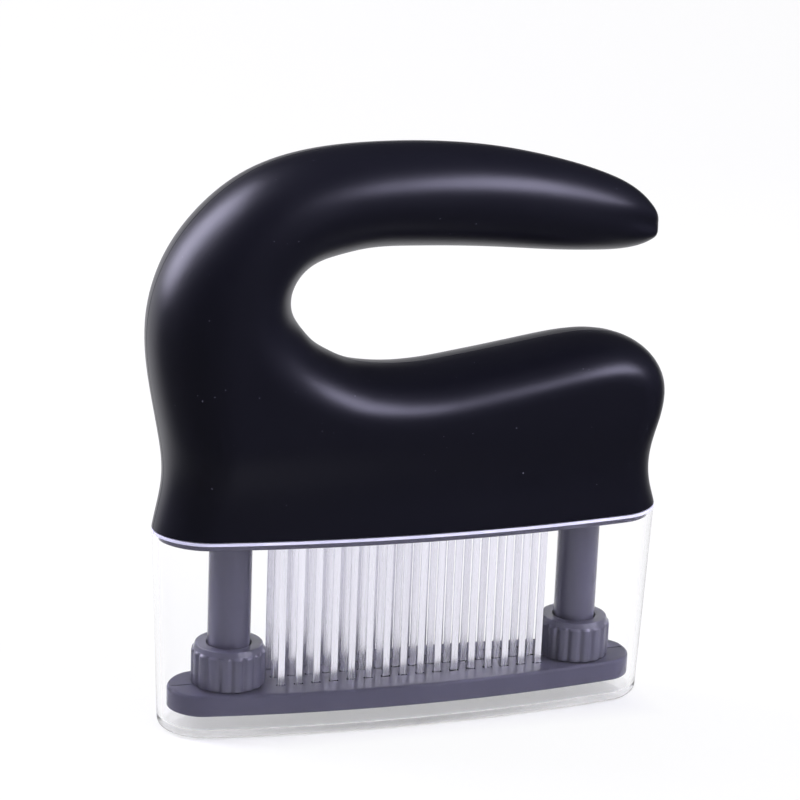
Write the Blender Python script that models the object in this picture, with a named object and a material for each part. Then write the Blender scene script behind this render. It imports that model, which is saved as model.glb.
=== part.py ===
"""Blade meat tenderizer: a C-shaped handle over 48 flat blades, a sprung guard and a clear cover.

Metres, +Z up. The origin is the middle of the cover's underside, which the tool stands on.
+X runs towards the free end of the handle's arm, and -Y faces whoever looks at its front.
"""
import math

import bmesh
import bpy
import numpy as np
from mathutils import Matrix

# Running gap between pieces that touch or slide, what counts as one point, and how far a cutter
# runs past what it cuts
GAP = 0.0003
MERGE = GAP / 100
OVERRUN = 0.001

# Blades: flat tines with ground points, stamped in rows that share a head strip
BLADES_PER_ROW = 16
BLADE_ROWS = 3
BLADE_PITCH = 0.0050
ROW_PITCH = 0.00625
BLADE_WIDTH = 0.00195
BLADE_THICKNESS = 0.0006
BLADE_POINT_LENGTH = 0.0032
BLADE_TIP_RECESS = 0.0015
BLADE_HEAD_WIDTH = 0.0036
BLADE_HEAD_HEIGHT = 0.0015

# Posts: hollow, with a foot that the collar holds down and a groove for the stop clip
POST_FROM_LAST_BLADE = 0.0131
POST_RADIUS = 0.0058
POST_BORE_RADIUS = 0.0042
POST_BORE_FLOOR = 0.0020
POST_FOOT_REACH = 0.0010
POST_FOOT_HEIGHT = 0.0020
POST_TENON_RADIUS = 0.0046
POST_GROOVE_DEPTH = 0.0008
POST_HEAD_HEIGHT = 0.0012

# Guard plate and the bosses that the posts stand in
GUARD_END_BEYOND_POST = 0.0169
GUARD_HALF_DEPTH = 0.0146
GUARD_SIDE_BULGE = 0.0060
GUARD_END_RADIUS = 0.0080
GUARD_THICKNESS = 0.0060
GUARD_EDGE_ROUND = 0.0008
GUARD_STROKE = 0.0260
BOSS_RADIUS = 0.0066
BOSS_HEIGHT = 0.0070
BOSS_FLOOR = 0.0015
LUG_REACH = 0.0012
LUG_HEIGHT = 0.0026
LUG_ANGLE = math.radians(60)
MARK_LENGTH = 0.0062
MARK_WIDTH = 0.0007
MARK_DEPTH = 0.0006
MARK_FROM_END = 0.0010

# Knurled quarter-turn collars
COLLAR_WALL = 0.0018
LUG_TO_COLLAR = 0.0006
COLLAR_TOP_THICKNESS = 0.0019
COLLAR_SHOULDER = 0.0020
COLLAR_FLUTES = 18
COLLAR_FLUTE_DEPTH = 0.0006

# Points of one flute: how far round the flute, and how deep
FLUTE_POINT_SHARES = ((0.0, 1.0), (0.33, 0.0), (0.67, 0.0))

# Clear cover
COVER_WALL = 0.0015
COVER_FLOOR = 0.0022
COVER_DRAFT = 0.0022
COVER_EDGE_ROUND = 0.0026
GUARD_TO_COVER_SIDE = 0.0010
GUARD_TO_COVER_FLOOR = 0.0036

# Blade carrier and the plate that clamps the blade heads
COLLAR_TO_CARRIER_AT_STROKE = 0.0044
SPIGOT_HEIGHT = 0.0026
PLUG_HEIGHT = 0.0063
PLUG_INSET = 0.0019
CLAMP_THICKNESS = 0.0040
CLAMP_INSET = 0.0012

# Guide sleeves, their caps and the springs
SLEEVE_WALL = 0.0012
SLEEVE_CAP_TO_ROOF = 0.0063
SLEEVE_FLANGE_REACH = 0.0012
SLEEVE_FLANGE_HEIGHT = 0.0018
CAP_THICKNESS = 0.0015
CAP_PLUG_DEPTH = 0.0020
CAP_PIN_RADIUS = 0.0022
CAP_PIN_LENGTH = 0.0050
SPRING_WIRE = 0.0009
SPRING_COILS = 11
CLIP_THICKNESS = 0.0014
CLIP_REACH = 0.0013
CLIP_OPENING = math.radians(70)

# Screws that hold carrier and clamp plate up against the handle's bosses
SCREW_X_FROM_POST = 0.0088
SCREW_EDGE_WALL = 0.0010
SCREW_RADIUS = 0.0014
SCREW_HEAD_RADIUS = 0.0028
SCREW_HEAD_HEIGHT = 0.0017
SCREW_HEAD_RECESS = 0.0003
SCREW_GRIP = 0.0130
SCREW_BOSS_RADIUS = 0.0030
SCREW_BOSS_HEIGHT = 0.0190
SCREW_RIB_THICKNESS = 0.0024

# Handle: two hollow halves that meet on the plane y = 0
HANDLE_RISE = 0.1024
HANDLE_HALF_DEPTH = 0.0208
HANDLE_WALL = 0.0026
HANDLE_BLEND_HEIGHT = 0.0280
HANDLE_WAIST = 0.0010
HANDLE_CAVITY_SPAN = 0.0140
HANDLE_TIP_ROUND = 0.0040
HANDLE_EVENING = 0.0040
HANDLE_STEPS = 2
HANDLE_CONTOUR_STEPS = 8
HANDLE_ROWS = 11
LOBE_TOP_SHARE = 0.482

# How fast far stretches of the handle's outline stop counting, and what a straight line sums to
FADE = 6
STRAIGHT_TOTAL = 16 / 15

# Stations that fan round the C, from the arm's tip to the free end of the block. Columns: inner x
# and z, outer x and z, half depth, inner rounding, outer rounding. x follows the half length at
# the seam, z the rise above the seam, depth the half depth, and rounding the seam's end radius.
# A rounding of zero takes half the station's span. The last stations lie below the seam, which
# cuts them off.
HANDLE_STATION_SHARES = (
    (0.943, 0.776, 0.943, 0.776, 0.30, 0.00, 0.00),
    (0.939, 0.758, 0.938, 0.794, 0.35, 0.00, 0.00),
    (0.925, 0.741, 0.921, 0.818, 0.41, 0.00, 0.00),
    (0.898, 0.727, 0.893, 0.842, 0.48, 0.00, 0.00),
    (0.832, 0.712, 0.849, 0.868, 0.56, 0.00, 0.00),
    (0.690, 0.706, 0.734, 0.908, 0.65, 0.00, 0.00),
    (0.528, 0.710, 0.549, 0.948, 0.73, 0.00, 0.00),
    (0.334, 0.720, 0.334, 0.980, 0.79, 0.00, 0.00),
    (0.125, 0.729, 0.097, 0.998, 0.84, 0.00, 0.00),
    (-0.070, 0.733, -0.167, 1.000, 0.88, 0.00, 0.00),
    (-0.223, 0.730, -0.427, 0.983, 0.91, 0.00, 0.00),
    (-0.347, 0.713, -0.658, 0.931, 0.94, 0.00, 0.00),
    (-0.450, 0.684, -0.842, 0.832, 0.97, 0.00, 0.00),
    (-0.503, 0.631, -0.968, 0.707, 0.99, 0.00, 0.00),
    (-0.500, 0.570, -1.029, 0.554, 1.00, 1.45, 1.50),
    (-0.460, 0.525, -1.021, 0.416, 1.00, 1.33, 1.45),
    (-0.407, 0.485, -0.981, 0.262, 1.00, 1.22, 1.30),
    (-0.340, 0.455, -0.964, 0.134, 1.00, 1.14, 1.15),
    (-0.264, 0.431, -1.000, 0.000, 1.00, 1.08, 1.00),
    (-0.195, 0.421, -1.004, -0.100, 1.00, 1.05, 1.00),
    (-0.125, 0.416, -0.958, -0.187, 1.00, 1.04, 0.80),
    (-0.055, 0.415, -0.834, -0.236, 1.00, 1.03, 0.50),
    (0.042, 0.419, -0.625, -0.245, 0.99, 1.01, 0.30),
    (0.167, 0.431, -0.389, -0.245, 0.98, 0.98, 0.30),
    (0.306, 0.446, -0.125, -0.245, 0.97, 0.94, 0.30),
    (0.445, 0.462, 0.120, -0.245, 0.96, 0.90, 0.30),
    (0.584, 0.477, 0.345, -0.245, 0.95, 0.86, 0.30),
    (0.709, LOBE_TOP_SHARE, 0.520, -0.245, 0.93, 0.82, 0.30),
    (0.832, 0.467, 0.630, -0.245, 0.91, 0.80, 0.30),
    (0.922, 0.431, 0.700, -0.245, 0.90, 0.81, 0.30),
    (0.977, 0.374, 0.750, -0.245, 0.89, 0.84, 0.30),
    (0.990, 0.301, 0.790, -0.245, 0.88, 0.89, 0.30),
    (0.966, 0.205, 0.825, -0.245, 0.88, 0.95, 0.30),
    (0.959, 0.125, 0.857, -0.245, 0.88, 0.98, 0.30),
    (0.973, 0.061, 0.887, -0.245, 0.88, 1.00, 0.30),
    (1.000, 0.000, 0.917, -0.243, 0.88, 1.00, 0.30),
    (1.018, -0.060, 0.948, -0.236, 0.88, 1.00, 0.30),
    (1.030, -0.120, 0.982, -0.217, 0.88, 1.00, 0.30),
    (1.038, -0.170, 1.038, -0.170, 0.88, 1.00, 1.00),
)

# Facets of round pieces, and of the long outline's sides and ends
ROUND_STEPS = 24
SMALL_ROUND_STEPS = 12
OUTLINE_SIDE_STEPS = 6
OUTLINE_END_STEPS = 5
COVER_CORNER_STEPS = 3
LUG_STEPS = 4
SPRING_STEPS = 8
SMOOTH_ANGLE = math.radians(40)

# Places along the tool that follow from the sizes
ROW_HALF_LENGTH = (BLADES_PER_ROW - 1) * BLADE_PITCH / 2
POST_X = ROW_HALF_LENGTH + POST_FROM_LAST_BLADE
GUARD_HALF_LENGTH = POST_X + GUARD_END_BEYOND_POST
COVER_FOOT_OUTSET = GUARD_TO_COVER_SIDE + COVER_WALL
SEAM_OUTSET = COVER_FOOT_OUTSET + COVER_DRAFT
SPIGOT_OUTSET = SEAM_OUTSET - COVER_WALL - GAP
PLUG_OUTSET = SEAM_OUTSET - HANDLE_WALL - PLUG_INSET
CLAMP_OUTSET = PLUG_OUTSET - CLAMP_INSET
SEAM_HALF_LENGTH = GUARD_HALF_LENGTH + SEAM_OUTSET
SEAM_END_RADIUS = GUARD_END_RADIUS + SEAM_OUTSET
SCREW_X = POST_X - SCREW_X_FROM_POST
CLAMP_HALF_DEPTH = GUARD_HALF_DEPTH + CLAMP_OUTSET - GUARD_SIDE_BULGE * (SCREW_X / GUARD_HALF_LENGTH) ** 2
SCREW_Y = CLAMP_HALF_DEPTH - SCREW_EDGE_WALL - GAP - SCREW_RADIUS

# Heights that follow from the sizes
GUARD_BOTTOM = COVER_FLOOR + GUARD_TO_COVER_FLOOR
GUARD_TOP = GUARD_BOTTOM + GUARD_THICKNESS
BOSS_TOP = GUARD_TOP + BOSS_HEIGHT
POST_FOOT_BOTTOM = BOSS_TOP + GAP
POST_FOOT_TOP = POST_FOOT_BOTTOM + POST_FOOT_HEIGHT
COLLAR_BOTTOM = GUARD_TOP + GAP
COLLAR_ROOF = POST_FOOT_TOP + GAP
COLLAR_TOP = COLLAR_ROOF + COLLAR_TOP_THICKNESS
CARRIER_BOTTOM = COLLAR_TOP + GUARD_STROKE + COLLAR_TO_CARRIER_AT_STROKE
SPIGOT_TOP = CARRIER_BOTTOM + SPIGOT_HEIGHT
COVER_TOP = SPIGOT_TOP
SEAM_Z = SPIGOT_TOP + GAP
CARRIER_TOP = SPIGOT_TOP + PLUG_HEIGHT
CLAMP_BOTTOM = CARRIER_TOP + GAP
CLAMP_TOP = CLAMP_BOTTOM + CLAMP_THICKNESS
CLIP_BOTTOM = CARRIER_TOP + GAP
CLIP_TOP = CLIP_BOTTOM + CLIP_THICKNESS
POST_TOP = CLIP_TOP + GAP + POST_HEAD_HEIGHT
BLOCK_ROOF = SEAM_Z + HANDLE_RISE * LOBE_TOP_SHARE - HANDLE_WALL
CAP_TOP = BLOCK_ROOF - SLEEVE_CAP_TO_ROOF
CAP_BOTTOM = CAP_TOP - CAP_THICKNESS
CAP_PLUG_BOTTOM = CAP_BOTTOM - CAP_PLUG_DEPTH
SLEEVE_BOTTOM = CARRIER_TOP + GAP
SLEEVE_TOP = CAP_BOTTOM - GAP
SPRING_BOTTOM = POST_FOOT_TOP + POST_BORE_FLOOR + GAP
SPRING_TOP = CAP_PLUG_BOTTOM - GAP

# Radii that follow from the sizes
CLIP_OUTER = POST_RADIUS + CLIP_REACH
SLEEVE_BORE = CLIP_OUTER + GAP
SLEEVE_OUTER = SLEEVE_BORE + SLEEVE_WALL
SLEEVE_FLANGE_RADIUS = SLEEVE_OUTER + SLEEVE_FLANGE_REACH
POST_FOOT_RADIUS = BOSS_RADIUS + POST_FOOT_REACH
LUG_RADIUS = BOSS_RADIUS + LUG_REACH
COLLAR_BORE = LUG_RADIUS + LUG_TO_COLLAR
COLLAR_RADIUS = COLLAR_BORE + COLLAR_WALL
SPRING_RADIUS = POST_BORE_RADIUS - GAP - SPRING_WIRE / 2


def clear_scene():
    """Start from an empty scene"""
    for old in list(bpy.data.objects):
        bpy.data.objects.remove(old, do_unlink=True)


def plastic(name, colour, roughness, metallic=0.0, alpha=1.0):
    """Make a plain Principled material"""
    material = bpy.data.materials.new(name)
    material.use_nodes = True
    shader = material.node_tree.nodes["Principled BSDF"]
    shader.inputs["Base Color"].default_value = (*colour, 1.0)
    shader.inputs["Roughness"].default_value = roughness
    shader.inputs["Metallic"].default_value = metallic
    shader.inputs["Alpha"].default_value = alpha
    return material


def add_object(name, bm, material, at=(0.0, 0.0, 0.0)):
    """Turn a closed bmesh into a named object with its origin at a point"""
    bmesh.ops.recalc_face_normals(bm, faces=bm.faces)
    mesh = bpy.data.meshes.new(name)
    bm.to_mesh(mesh)
    bm.free()
    mesh.shade_smooth()
    mesh.set_sharp_from_angle(angle=SMOOTH_ANGLE)
    if material is not None:
        mesh.materials.append(material)
    thing = bpy.data.objects.new(name, mesh)
    thing.location = at
    bpy.context.scene.collection.objects.link(thing)
    return thing


def boolean(target, cutter, operation):
    """Cut a target with a hidden helper object, or join the helper to it"""
    cutter.hide_render = True
    cutter.display_type = "WIRE"
    step = target.modifiers.new(operation.title(), "BOOLEAN")
    step.operation = operation
    step.solver = "EXACT"
    step.object = cutter


def add_box(bm, low, high):
    """Add a box between two corners"""
    size = [high[i] - low[i] for i in range(3)]
    middle = [(high[i] + low[i]) / 2 for i in range(3)]
    place = Matrix.Translation(middle) @ Matrix.Diagonal((*size, 1.0))
    bmesh.ops.create_cube(bm, size=1.0, matrix=place)


def add_cylinder(bm, radius, bottom, top, x=0.0, y=0.0, steps=ROUND_STEPS):
    """Add an upright cylinder"""
    place = Matrix.Translation((x, y, (bottom + top) / 2))
    bmesh.ops.create_cone(
        bm, cap_ends=True, segments=steps, radius1=radius, radius2=radius, depth=top - bottom, matrix=place
    )


def add_prism(bm, outline, bottom, top):
    """Extrude a closed outline of (x, y) points between two heights"""
    face = bm.faces.new([bm.verts.new((x, y, bottom)) for x, y in outline])
    grown = bmesh.ops.extrude_face_region(bm, geom=[face])
    moved = [v for v in grown["geom"] if isinstance(v, bmesh.types.BMVert)]
    bmesh.ops.translate(bm, verts=moved, vec=(0.0, 0.0, top - bottom))


def add_turned(bm, profile, steps=ROUND_STEPS, x=0.0):
    """Spin a closed profile of (radius, height) points round an upright axis"""
    verts = [bm.verts.new((x + radius, 0.0, height)) for radius, height in profile]
    edges = [bm.edges.new((verts[i], verts[(i + 1) % len(verts)])) for i in range(len(verts))]
    bmesh.ops.spin(
        bm, geom=verts + edges, cent=(x, 0.0, 0.0), axis=(0.0, 0.0, 1.0),
        angle=2 * math.pi, steps=steps, use_merge=True,
    )


def turned(profile, steps=ROUND_STEPS):
    """Return a bmesh of one turned piece on its own axis"""
    bm = bmesh.new()
    add_turned(bm, profile, steps)
    on_axis = [v for v in bm.verts if math.hypot(v.co.x, v.co.y) < MERGE]
    bmesh.ops.remove_doubles(bm, verts=on_axis, dist=MERGE)
    return bm


def side_half_depth(x, outset):
    """Half depth of the long, gently bowed plan at x, before its ends are rounded"""
    return GUARD_HALF_DEPTH + outset - GUARD_SIDE_BULGE * (x / GUARD_HALF_LENGTH) ** 2


def rounded(distance, radius):
    """Share of the full depth that is left at a distance inside an elliptical edge"""
    reach = np.clip(distance / radius, 0.0, 1.0)
    return np.sqrt(1.0 - (1.0 - reach) ** 2)


def plan_outline(outset):
    """Closed outline shared by guard, cover, carrier and seam, moved out from the guard's own"""
    half_length = GUARD_HALF_LENGTH + outset
    radius = GUARD_END_RADIUS + outset
    straight = half_length - radius
    sides = [straight * (2 * i / OUTLINE_SIDE_STEPS - 1) for i in range(OUTLINE_SIDE_STEPS + 1)]
    quarter = [math.pi / 2 * i / OUTLINE_END_STEPS for i in range(1, OUTLINE_END_STEPS)]
    right = [straight + radius * math.sin(angle) for angle in quarter]
    stations = [-x for x in reversed(right)] + sides + right
    half = [(x, side_half_depth(x, outset) * rounded(half_length - abs(x), radius)) for x in stations]
    front = [(x, -y) for x, y in half]
    rear = [(x, y) for x, y in reversed(half)]
    return [(-half_length, 0.0)] + front + [(half_length, 0.0)] + rear


def add_tub(bm, rings):
    """Join plan outlines of given outsets and heights into one closed skin"""
    made = [[bm.verts.new((x, y, z)) for x, y in plan_outline(outset)] for outset, z in rings]
    for low, high in zip(made, made[1:]):
        for i in range(len(low)):
            j = (i + 1) % len(low)
            bm.faces.new((low[i], low[j], high[j], high[i]))
    bm.faces.new(made[0])
    bm.faces.new(made[-1])


def blade_places():
    """Yield the x and y of each blade"""
    for row in range(BLADE_ROWS):
        y = (row - (BLADE_ROWS - 1) / 2) * ROW_PITCH
        for i in range(BLADES_PER_ROW):
            yield i * BLADE_PITCH - ROW_HALF_LENGTH, y


def slot_cutter(name, bottom, top):
    """Make the cutter for one slot per blade"""
    bm = bmesh.new()
    half_x = BLADE_WIDTH / 2 + GAP
    half_y = BLADE_THICKNESS / 2 + GAP
    for x, y in blade_places():
        low = (x - half_x, y - half_y, bottom - OVERRUN)
        high = (x + half_x, y + half_y, top + OVERRUN)
        add_box(bm, low, high)
    return add_object(name, bm, None)


def screw_places():
    """Yield the x and y of each carrier screw"""
    for x in (-SCREW_X, SCREW_X):
        for y in (-SCREW_Y, SCREW_Y):
            yield x, y


def make_blades(steel):
    """Make the three rows of blades, each stamped as one comb with its tines standing in line"""
    tip = GUARD_BOTTOM + BLADE_TIP_RECESS
    shoulder = tip + BLADE_POINT_LENGTH
    root = CARRIER_TOP + GAP
    half = BLADE_WIDTH / 2
    comb = []
    for i in range(BLADES_PER_ROW):
        x = i * BLADE_PITCH - ROW_HALF_LENGTH
        comb += [(x - half, root), (x - half, shoulder), (x, tip), (x + half, shoulder), (x + half, root)]
    comb_end = ROW_HALF_LENGTH + BLADE_HEAD_WIDTH / 2
    comb += [(comb_end, root), (comb_end, root + BLADE_HEAD_HEIGHT)]
    comb += [(-comb_end, root + BLADE_HEAD_HEIGHT), (-comb_end, root)]
    for row, name in enumerate(("front_blade_row", "middle_blade_row", "rear_blade_row")):
        near = (row - (BLADE_ROWS - 1) / 2) * ROW_PITCH - BLADE_THICKNESS / 2
        bm = bmesh.new()
        face = bm.faces.new([bm.verts.new((x, near, z)) for x, z in comb])
        grown = bmesh.ops.extrude_face_region(bm, geom=[face])
        moved = [v for v in grown["geom"] if isinstance(v, bmesh.types.BMVert)]
        bmesh.ops.translate(bm, verts=moved, vec=(0.0, BLADE_THICKNESS, 0.0))
        add_object(name, bm, steel)


def add_lug_pair(bm, inner, outer, bottom, top):
    """Add two opposite bayonet lugs as sectors of a ring"""
    for side in (0.0, math.pi):
        start = side - LUG_ANGLE / 2
        angles = [start + LUG_ANGLE * i / LUG_STEPS for i in range(LUG_STEPS + 1)]
        arc = [(outer * math.cos(a), outer * math.sin(a)) for a in angles]
        arc += [(inner * math.cos(a), inner * math.sin(a)) for a in reversed(angles)]
        add_prism(bm, arc, bottom, top)


def make_guard(grey):
    """Make the slotted guard plate with its two bayonet bosses"""
    bm = bmesh.new()
    add_tub(bm, [
        (-GUARD_EDGE_ROUND, GUARD_BOTTOM), (0.0, GUARD_BOTTOM + GUARD_EDGE_ROUND),
        (0.0, GUARD_TOP - GUARD_EDGE_ROUND), (-GUARD_EDGE_ROUND, GUARD_TOP),
    ])
    plate = add_object("guard_plate", bm, grey)

    bosses = bmesh.new()
    for x in (-POST_X, POST_X):
        add_cylinder(bosses, BOSS_RADIUS, GUARD_BOTTOM + BOSS_FLOOR, BOSS_TOP, x=x)
    boolean(plate, add_object("boss_helper", bosses, None), "UNION")
    lug_root = BOSS_RADIUS - LUG_REACH / 2
    for side, x in (("left", -POST_X), ("right", POST_X)):
        lugs = bmesh.new()
        add_lug_pair(lugs, lug_root, LUG_RADIUS, BOSS_TOP - LUG_HEIGHT, BOSS_TOP - GAP)
        boolean(plate, add_object(side + "_boss_lug_helper", lugs, None, (x, 0.0, 0.0)), "UNION")

    cuts = bmesh.new()
    floor = GUARD_BOTTOM + BOSS_FLOOR
    mark_outer = GUARD_HALF_LENGTH - MARK_FROM_END
    mark_inner = mark_outer - MARK_LENGTH
    for side, start, end in ((-1, -mark_outer, -mark_inner), (1, mark_inner, mark_outer)):
        add_cylinder(cuts, POST_TENON_RADIUS + GAP, floor, BOSS_TOP + OVERRUN, x=side * POST_X)
        low = (start, -MARK_WIDTH / 2, GUARD_TOP - MARK_DEPTH)
        high = (end, MARK_WIDTH / 2, GUARD_TOP + OVERRUN)
        add_box(cuts, low, high)
    boolean(plate, add_object("guard_bore_cutter", cuts, None), "DIFFERENCE")
    boolean(plate, slot_cutter("guard_slot_cutter", GUARD_BOTTOM, GUARD_TOP), "DIFFERENCE")


def make_posts(grey, steel):
    """Make both posts with their stop clips"""
    tenon_bottom = GUARD_BOTTOM + BOSS_FLOOR + GAP
    groove = POST_RADIUS - POST_GROOVE_DEPTH
    profile = [
        (0.0, tenon_bottom), (POST_TENON_RADIUS, tenon_bottom), (POST_TENON_RADIUS, POST_FOOT_BOTTOM),
        (POST_FOOT_RADIUS, POST_FOOT_BOTTOM), (POST_FOOT_RADIUS, POST_FOOT_TOP), (POST_RADIUS, POST_FOOT_TOP),
        (POST_RADIUS, CLIP_BOTTOM - GAP), (groove, CLIP_BOTTOM - GAP), (groove, CLIP_TOP + GAP),
        (POST_RADIUS, CLIP_TOP + GAP), (POST_RADIUS, POST_TOP), (POST_BORE_RADIUS, POST_TOP),
        (POST_BORE_RADIUS, SPRING_BOTTOM - GAP), (0.0, SPRING_BOTTOM - GAP),
    ]
    ring_inner = groove + GAP
    start = CLIP_OPENING / 2
    sweep = 2 * math.pi - CLIP_OPENING
    angles = [start + sweep * i / ROUND_STEPS for i in range(ROUND_STEPS + 1)]
    arc = [(CLIP_OUTER * math.cos(a), CLIP_OUTER * math.sin(a)) for a in angles]
    arc += [(ring_inner * math.cos(a), ring_inner * math.sin(a)) for a in reversed(angles)]
    for side, x in (("left", -POST_X), ("right", POST_X)):
        add_object(side + "_post", turned(profile), grey, (x, 0.0, 0.0))
        clip = bmesh.new()
        add_prism(clip, arc, CLIP_BOTTOM, CLIP_TOP)
        add_object(side + "_stop_clip", clip, steel, (x, 0.0, 0.0))


def collar_ring(bm, radius, height, flute_depth):
    """Add one ring of the knurled outline"""
    ring = []
    for flute in range(COLLAR_FLUTES):
        for along_share, sunk_share in FLUTE_POINT_SHARES:
            angle = 2 * math.pi * (flute + along_share) / COLLAR_FLUTES
            r = radius - flute_depth * sunk_share
            ring.append(bm.verts.new((r * math.cos(angle), r * math.sin(angle), height)))
    return ring


def make_collars(grey):
    """Make both quarter-turn collars, each a knurled cap with two inner lugs"""
    shoulder = COLLAR_RADIUS - COLLAR_FLUTE_DEPTH
    knurl_top = COLLAR_TOP - COLLAR_SHOULDER
    lug_bottom = COLLAR_BOTTOM + GAP
    lug_top = BOSS_TOP - LUG_HEIGHT - GAP
    for side, x in (("left", -POST_X), ("right", POST_X)):
        bm = bmesh.new()
        rings = [
            collar_ring(bm, COLLAR_RADIUS, COLLAR_BOTTOM, COLLAR_FLUTE_DEPTH),
            collar_ring(bm, COLLAR_RADIUS, knurl_top, COLLAR_FLUTE_DEPTH),
            collar_ring(bm, shoulder, knurl_top + COLLAR_SHOULDER / 2, 0.0),
            collar_ring(bm, shoulder - COLLAR_SHOULDER / 2, COLLAR_TOP, 0.0),
        ]
        for low, high in zip(rings, rings[1:]):
            for i in range(len(low)):
                j = (i + 1) % len(low)
                bm.faces.new((low[i], low[j], high[j], high[i]))
        bm.faces.new(rings[0])
        bm.faces.new(rings[-1])
        collar = add_object(side + "_lock_collar", bm, grey, (x, 0.0, 0.0))

        cut = bmesh.new()
        add_cylinder(cut, COLLAR_BORE, COLLAR_BOTTOM - OVERRUN, COLLAR_ROOF)
        boolean(collar, add_object(side + "_collar_bore_cutter", cut, None, (x, 0.0, 0.0)), "DIFFERENCE")
        hole = bmesh.new()
        add_cylinder(hole, POST_RADIUS + GAP, COLLAR_ROOF - OVERRUN, COLLAR_TOP + OVERRUN)
        boolean(collar, add_object(side + "_collar_hole_cutter", hole, None, (x, 0.0, 0.0)), "DIFFERENCE")
        lugs = bmesh.new()
        lug_root = COLLAR_BORE + COLLAR_WALL / 3
        add_lug_pair(lugs, BOSS_RADIUS + GAP, lug_root, lug_bottom, lug_top)
        boolean(collar, add_object(side + "_collar_lug_helper", lugs, None, (x, 0.0, 0.0)), "UNION")


def make_cover(clear):
    """Make the clear cover: a drafted tub with a rounded foot"""
    corner = COVER_EDGE_ROUND
    slope = COVER_DRAFT / COVER_TOP
    arc = [math.pi / 2 * i / COVER_CORNER_STEPS for i in range(COVER_CORNER_STEPS + 1)]
    outer = [(COVER_FOOT_OUTSET - corner * (1 - math.sin(a)), corner * (1 - math.cos(a))) for a in arc]
    outer.append((SEAM_OUTSET, COVER_TOP))
    inner_round = corner - COVER_WALL
    foot = COVER_FOOT_OUTSET - COVER_WALL
    inner = [
        (foot - inner_round, COVER_FLOOR), (foot + slope * inner_round, COVER_FLOOR + inner_round),
        (SEAM_OUTSET - COVER_WALL, COVER_TOP),
    ]
    bm = bmesh.new()
    add_tub(bm, outer + list(reversed(inner)))
    add_object("blade_cover", bm, clear)


def make_carrier(grey):
    """Make the blade carrier: a spigot that the cover grips and a plug inside the handle"""
    bm = bmesh.new()
    add_tub(bm, [
        (SPIGOT_OUTSET, CARRIER_BOTTOM), (SPIGOT_OUTSET, SPIGOT_TOP),
        (PLUG_OUTSET, SPIGOT_TOP), (PLUG_OUTSET, CARRIER_TOP),
    ])
    carrier = add_object("blade_carrier", bm, grey)
    cuts = bmesh.new()
    for x in (-POST_X, POST_X):
        add_cylinder(cuts, POST_RADIUS + GAP, CARRIER_BOTTOM - OVERRUN, CARRIER_TOP + OVERRUN, x=x)
    for x, y in screw_places():
        add_cylinder(cuts, SCREW_RADIUS + GAP, CARRIER_BOTTOM, CARRIER_TOP + OVERRUN, x, y, SMALL_ROUND_STEPS)
    boolean(carrier, add_object("carrier_hole_cutter", cuts, None), "DIFFERENCE")
    recess = bmesh.new()
    recess_top = CARRIER_BOTTOM + SCREW_HEAD_RECESS + SCREW_HEAD_HEIGHT + GAP
    for x, y in screw_places():
        add_cylinder(
            recess, SCREW_HEAD_RADIUS + GAP, CARRIER_BOTTOM - OVERRUN, recess_top, x, y, SMALL_ROUND_STEPS
        )
    boolean(carrier, add_object("carrier_recess_cutter", recess, None), "DIFFERENCE")
    boolean(carrier, slot_cutter("carrier_slot_cutter", CARRIER_BOTTOM, CARRIER_TOP), "DIFFERENCE")


def make_clamp_plate(grey):
    """Make the plate that traps the blade heads and the sleeves' flanges"""
    bm = bmesh.new()
    add_prism(bm, plan_outline(CLAMP_OUTSET), CLAMP_BOTTOM, CLAMP_TOP)
    plate = add_object("blade_clamp_plate", bm, grey)
    cuts = bmesh.new()
    for x in (-POST_X, POST_X):
        add_cylinder(cuts, SLEEVE_OUTER + GAP, CLAMP_BOTTOM - OVERRUN, CLAMP_TOP + OVERRUN, x=x)
    for x, y in screw_places():
        add_cylinder(
            cuts, SCREW_RADIUS + GAP, CLAMP_BOTTOM - OVERRUN, CLAMP_TOP + OVERRUN, x, y, SMALL_ROUND_STEPS
        )
    groove_half = ROW_HALF_LENGTH + BLADE_HEAD_WIDTH / 2 + GAP
    groove_top = CARRIER_TOP + GAP + BLADE_HEAD_HEIGHT + GAP
    for row in range(BLADE_ROWS):
        y = (row - (BLADE_ROWS - 1) / 2) * ROW_PITCH
        half_y = BLADE_THICKNESS / 2 + GAP
        add_box(
            cuts, (-groove_half, y - half_y, CLAMP_BOTTOM - OVERRUN), (groove_half, y + half_y, groove_top)
        )
    boolean(plate, add_object("clamp_cutter", cuts, None), "DIFFERENCE")
    seats = bmesh.new()
    seat_top = SLEEVE_BOTTOM + SLEEVE_FLANGE_HEIGHT + GAP
    for x in (-POST_X, POST_X):
        add_cylinder(seats, SLEEVE_FLANGE_RADIUS + GAP, CLAMP_BOTTOM - OVERRUN, seat_top, x=x)
    boolean(plate, add_object("clamp_seat_cutter", seats, None), "DIFFERENCE")


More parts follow.
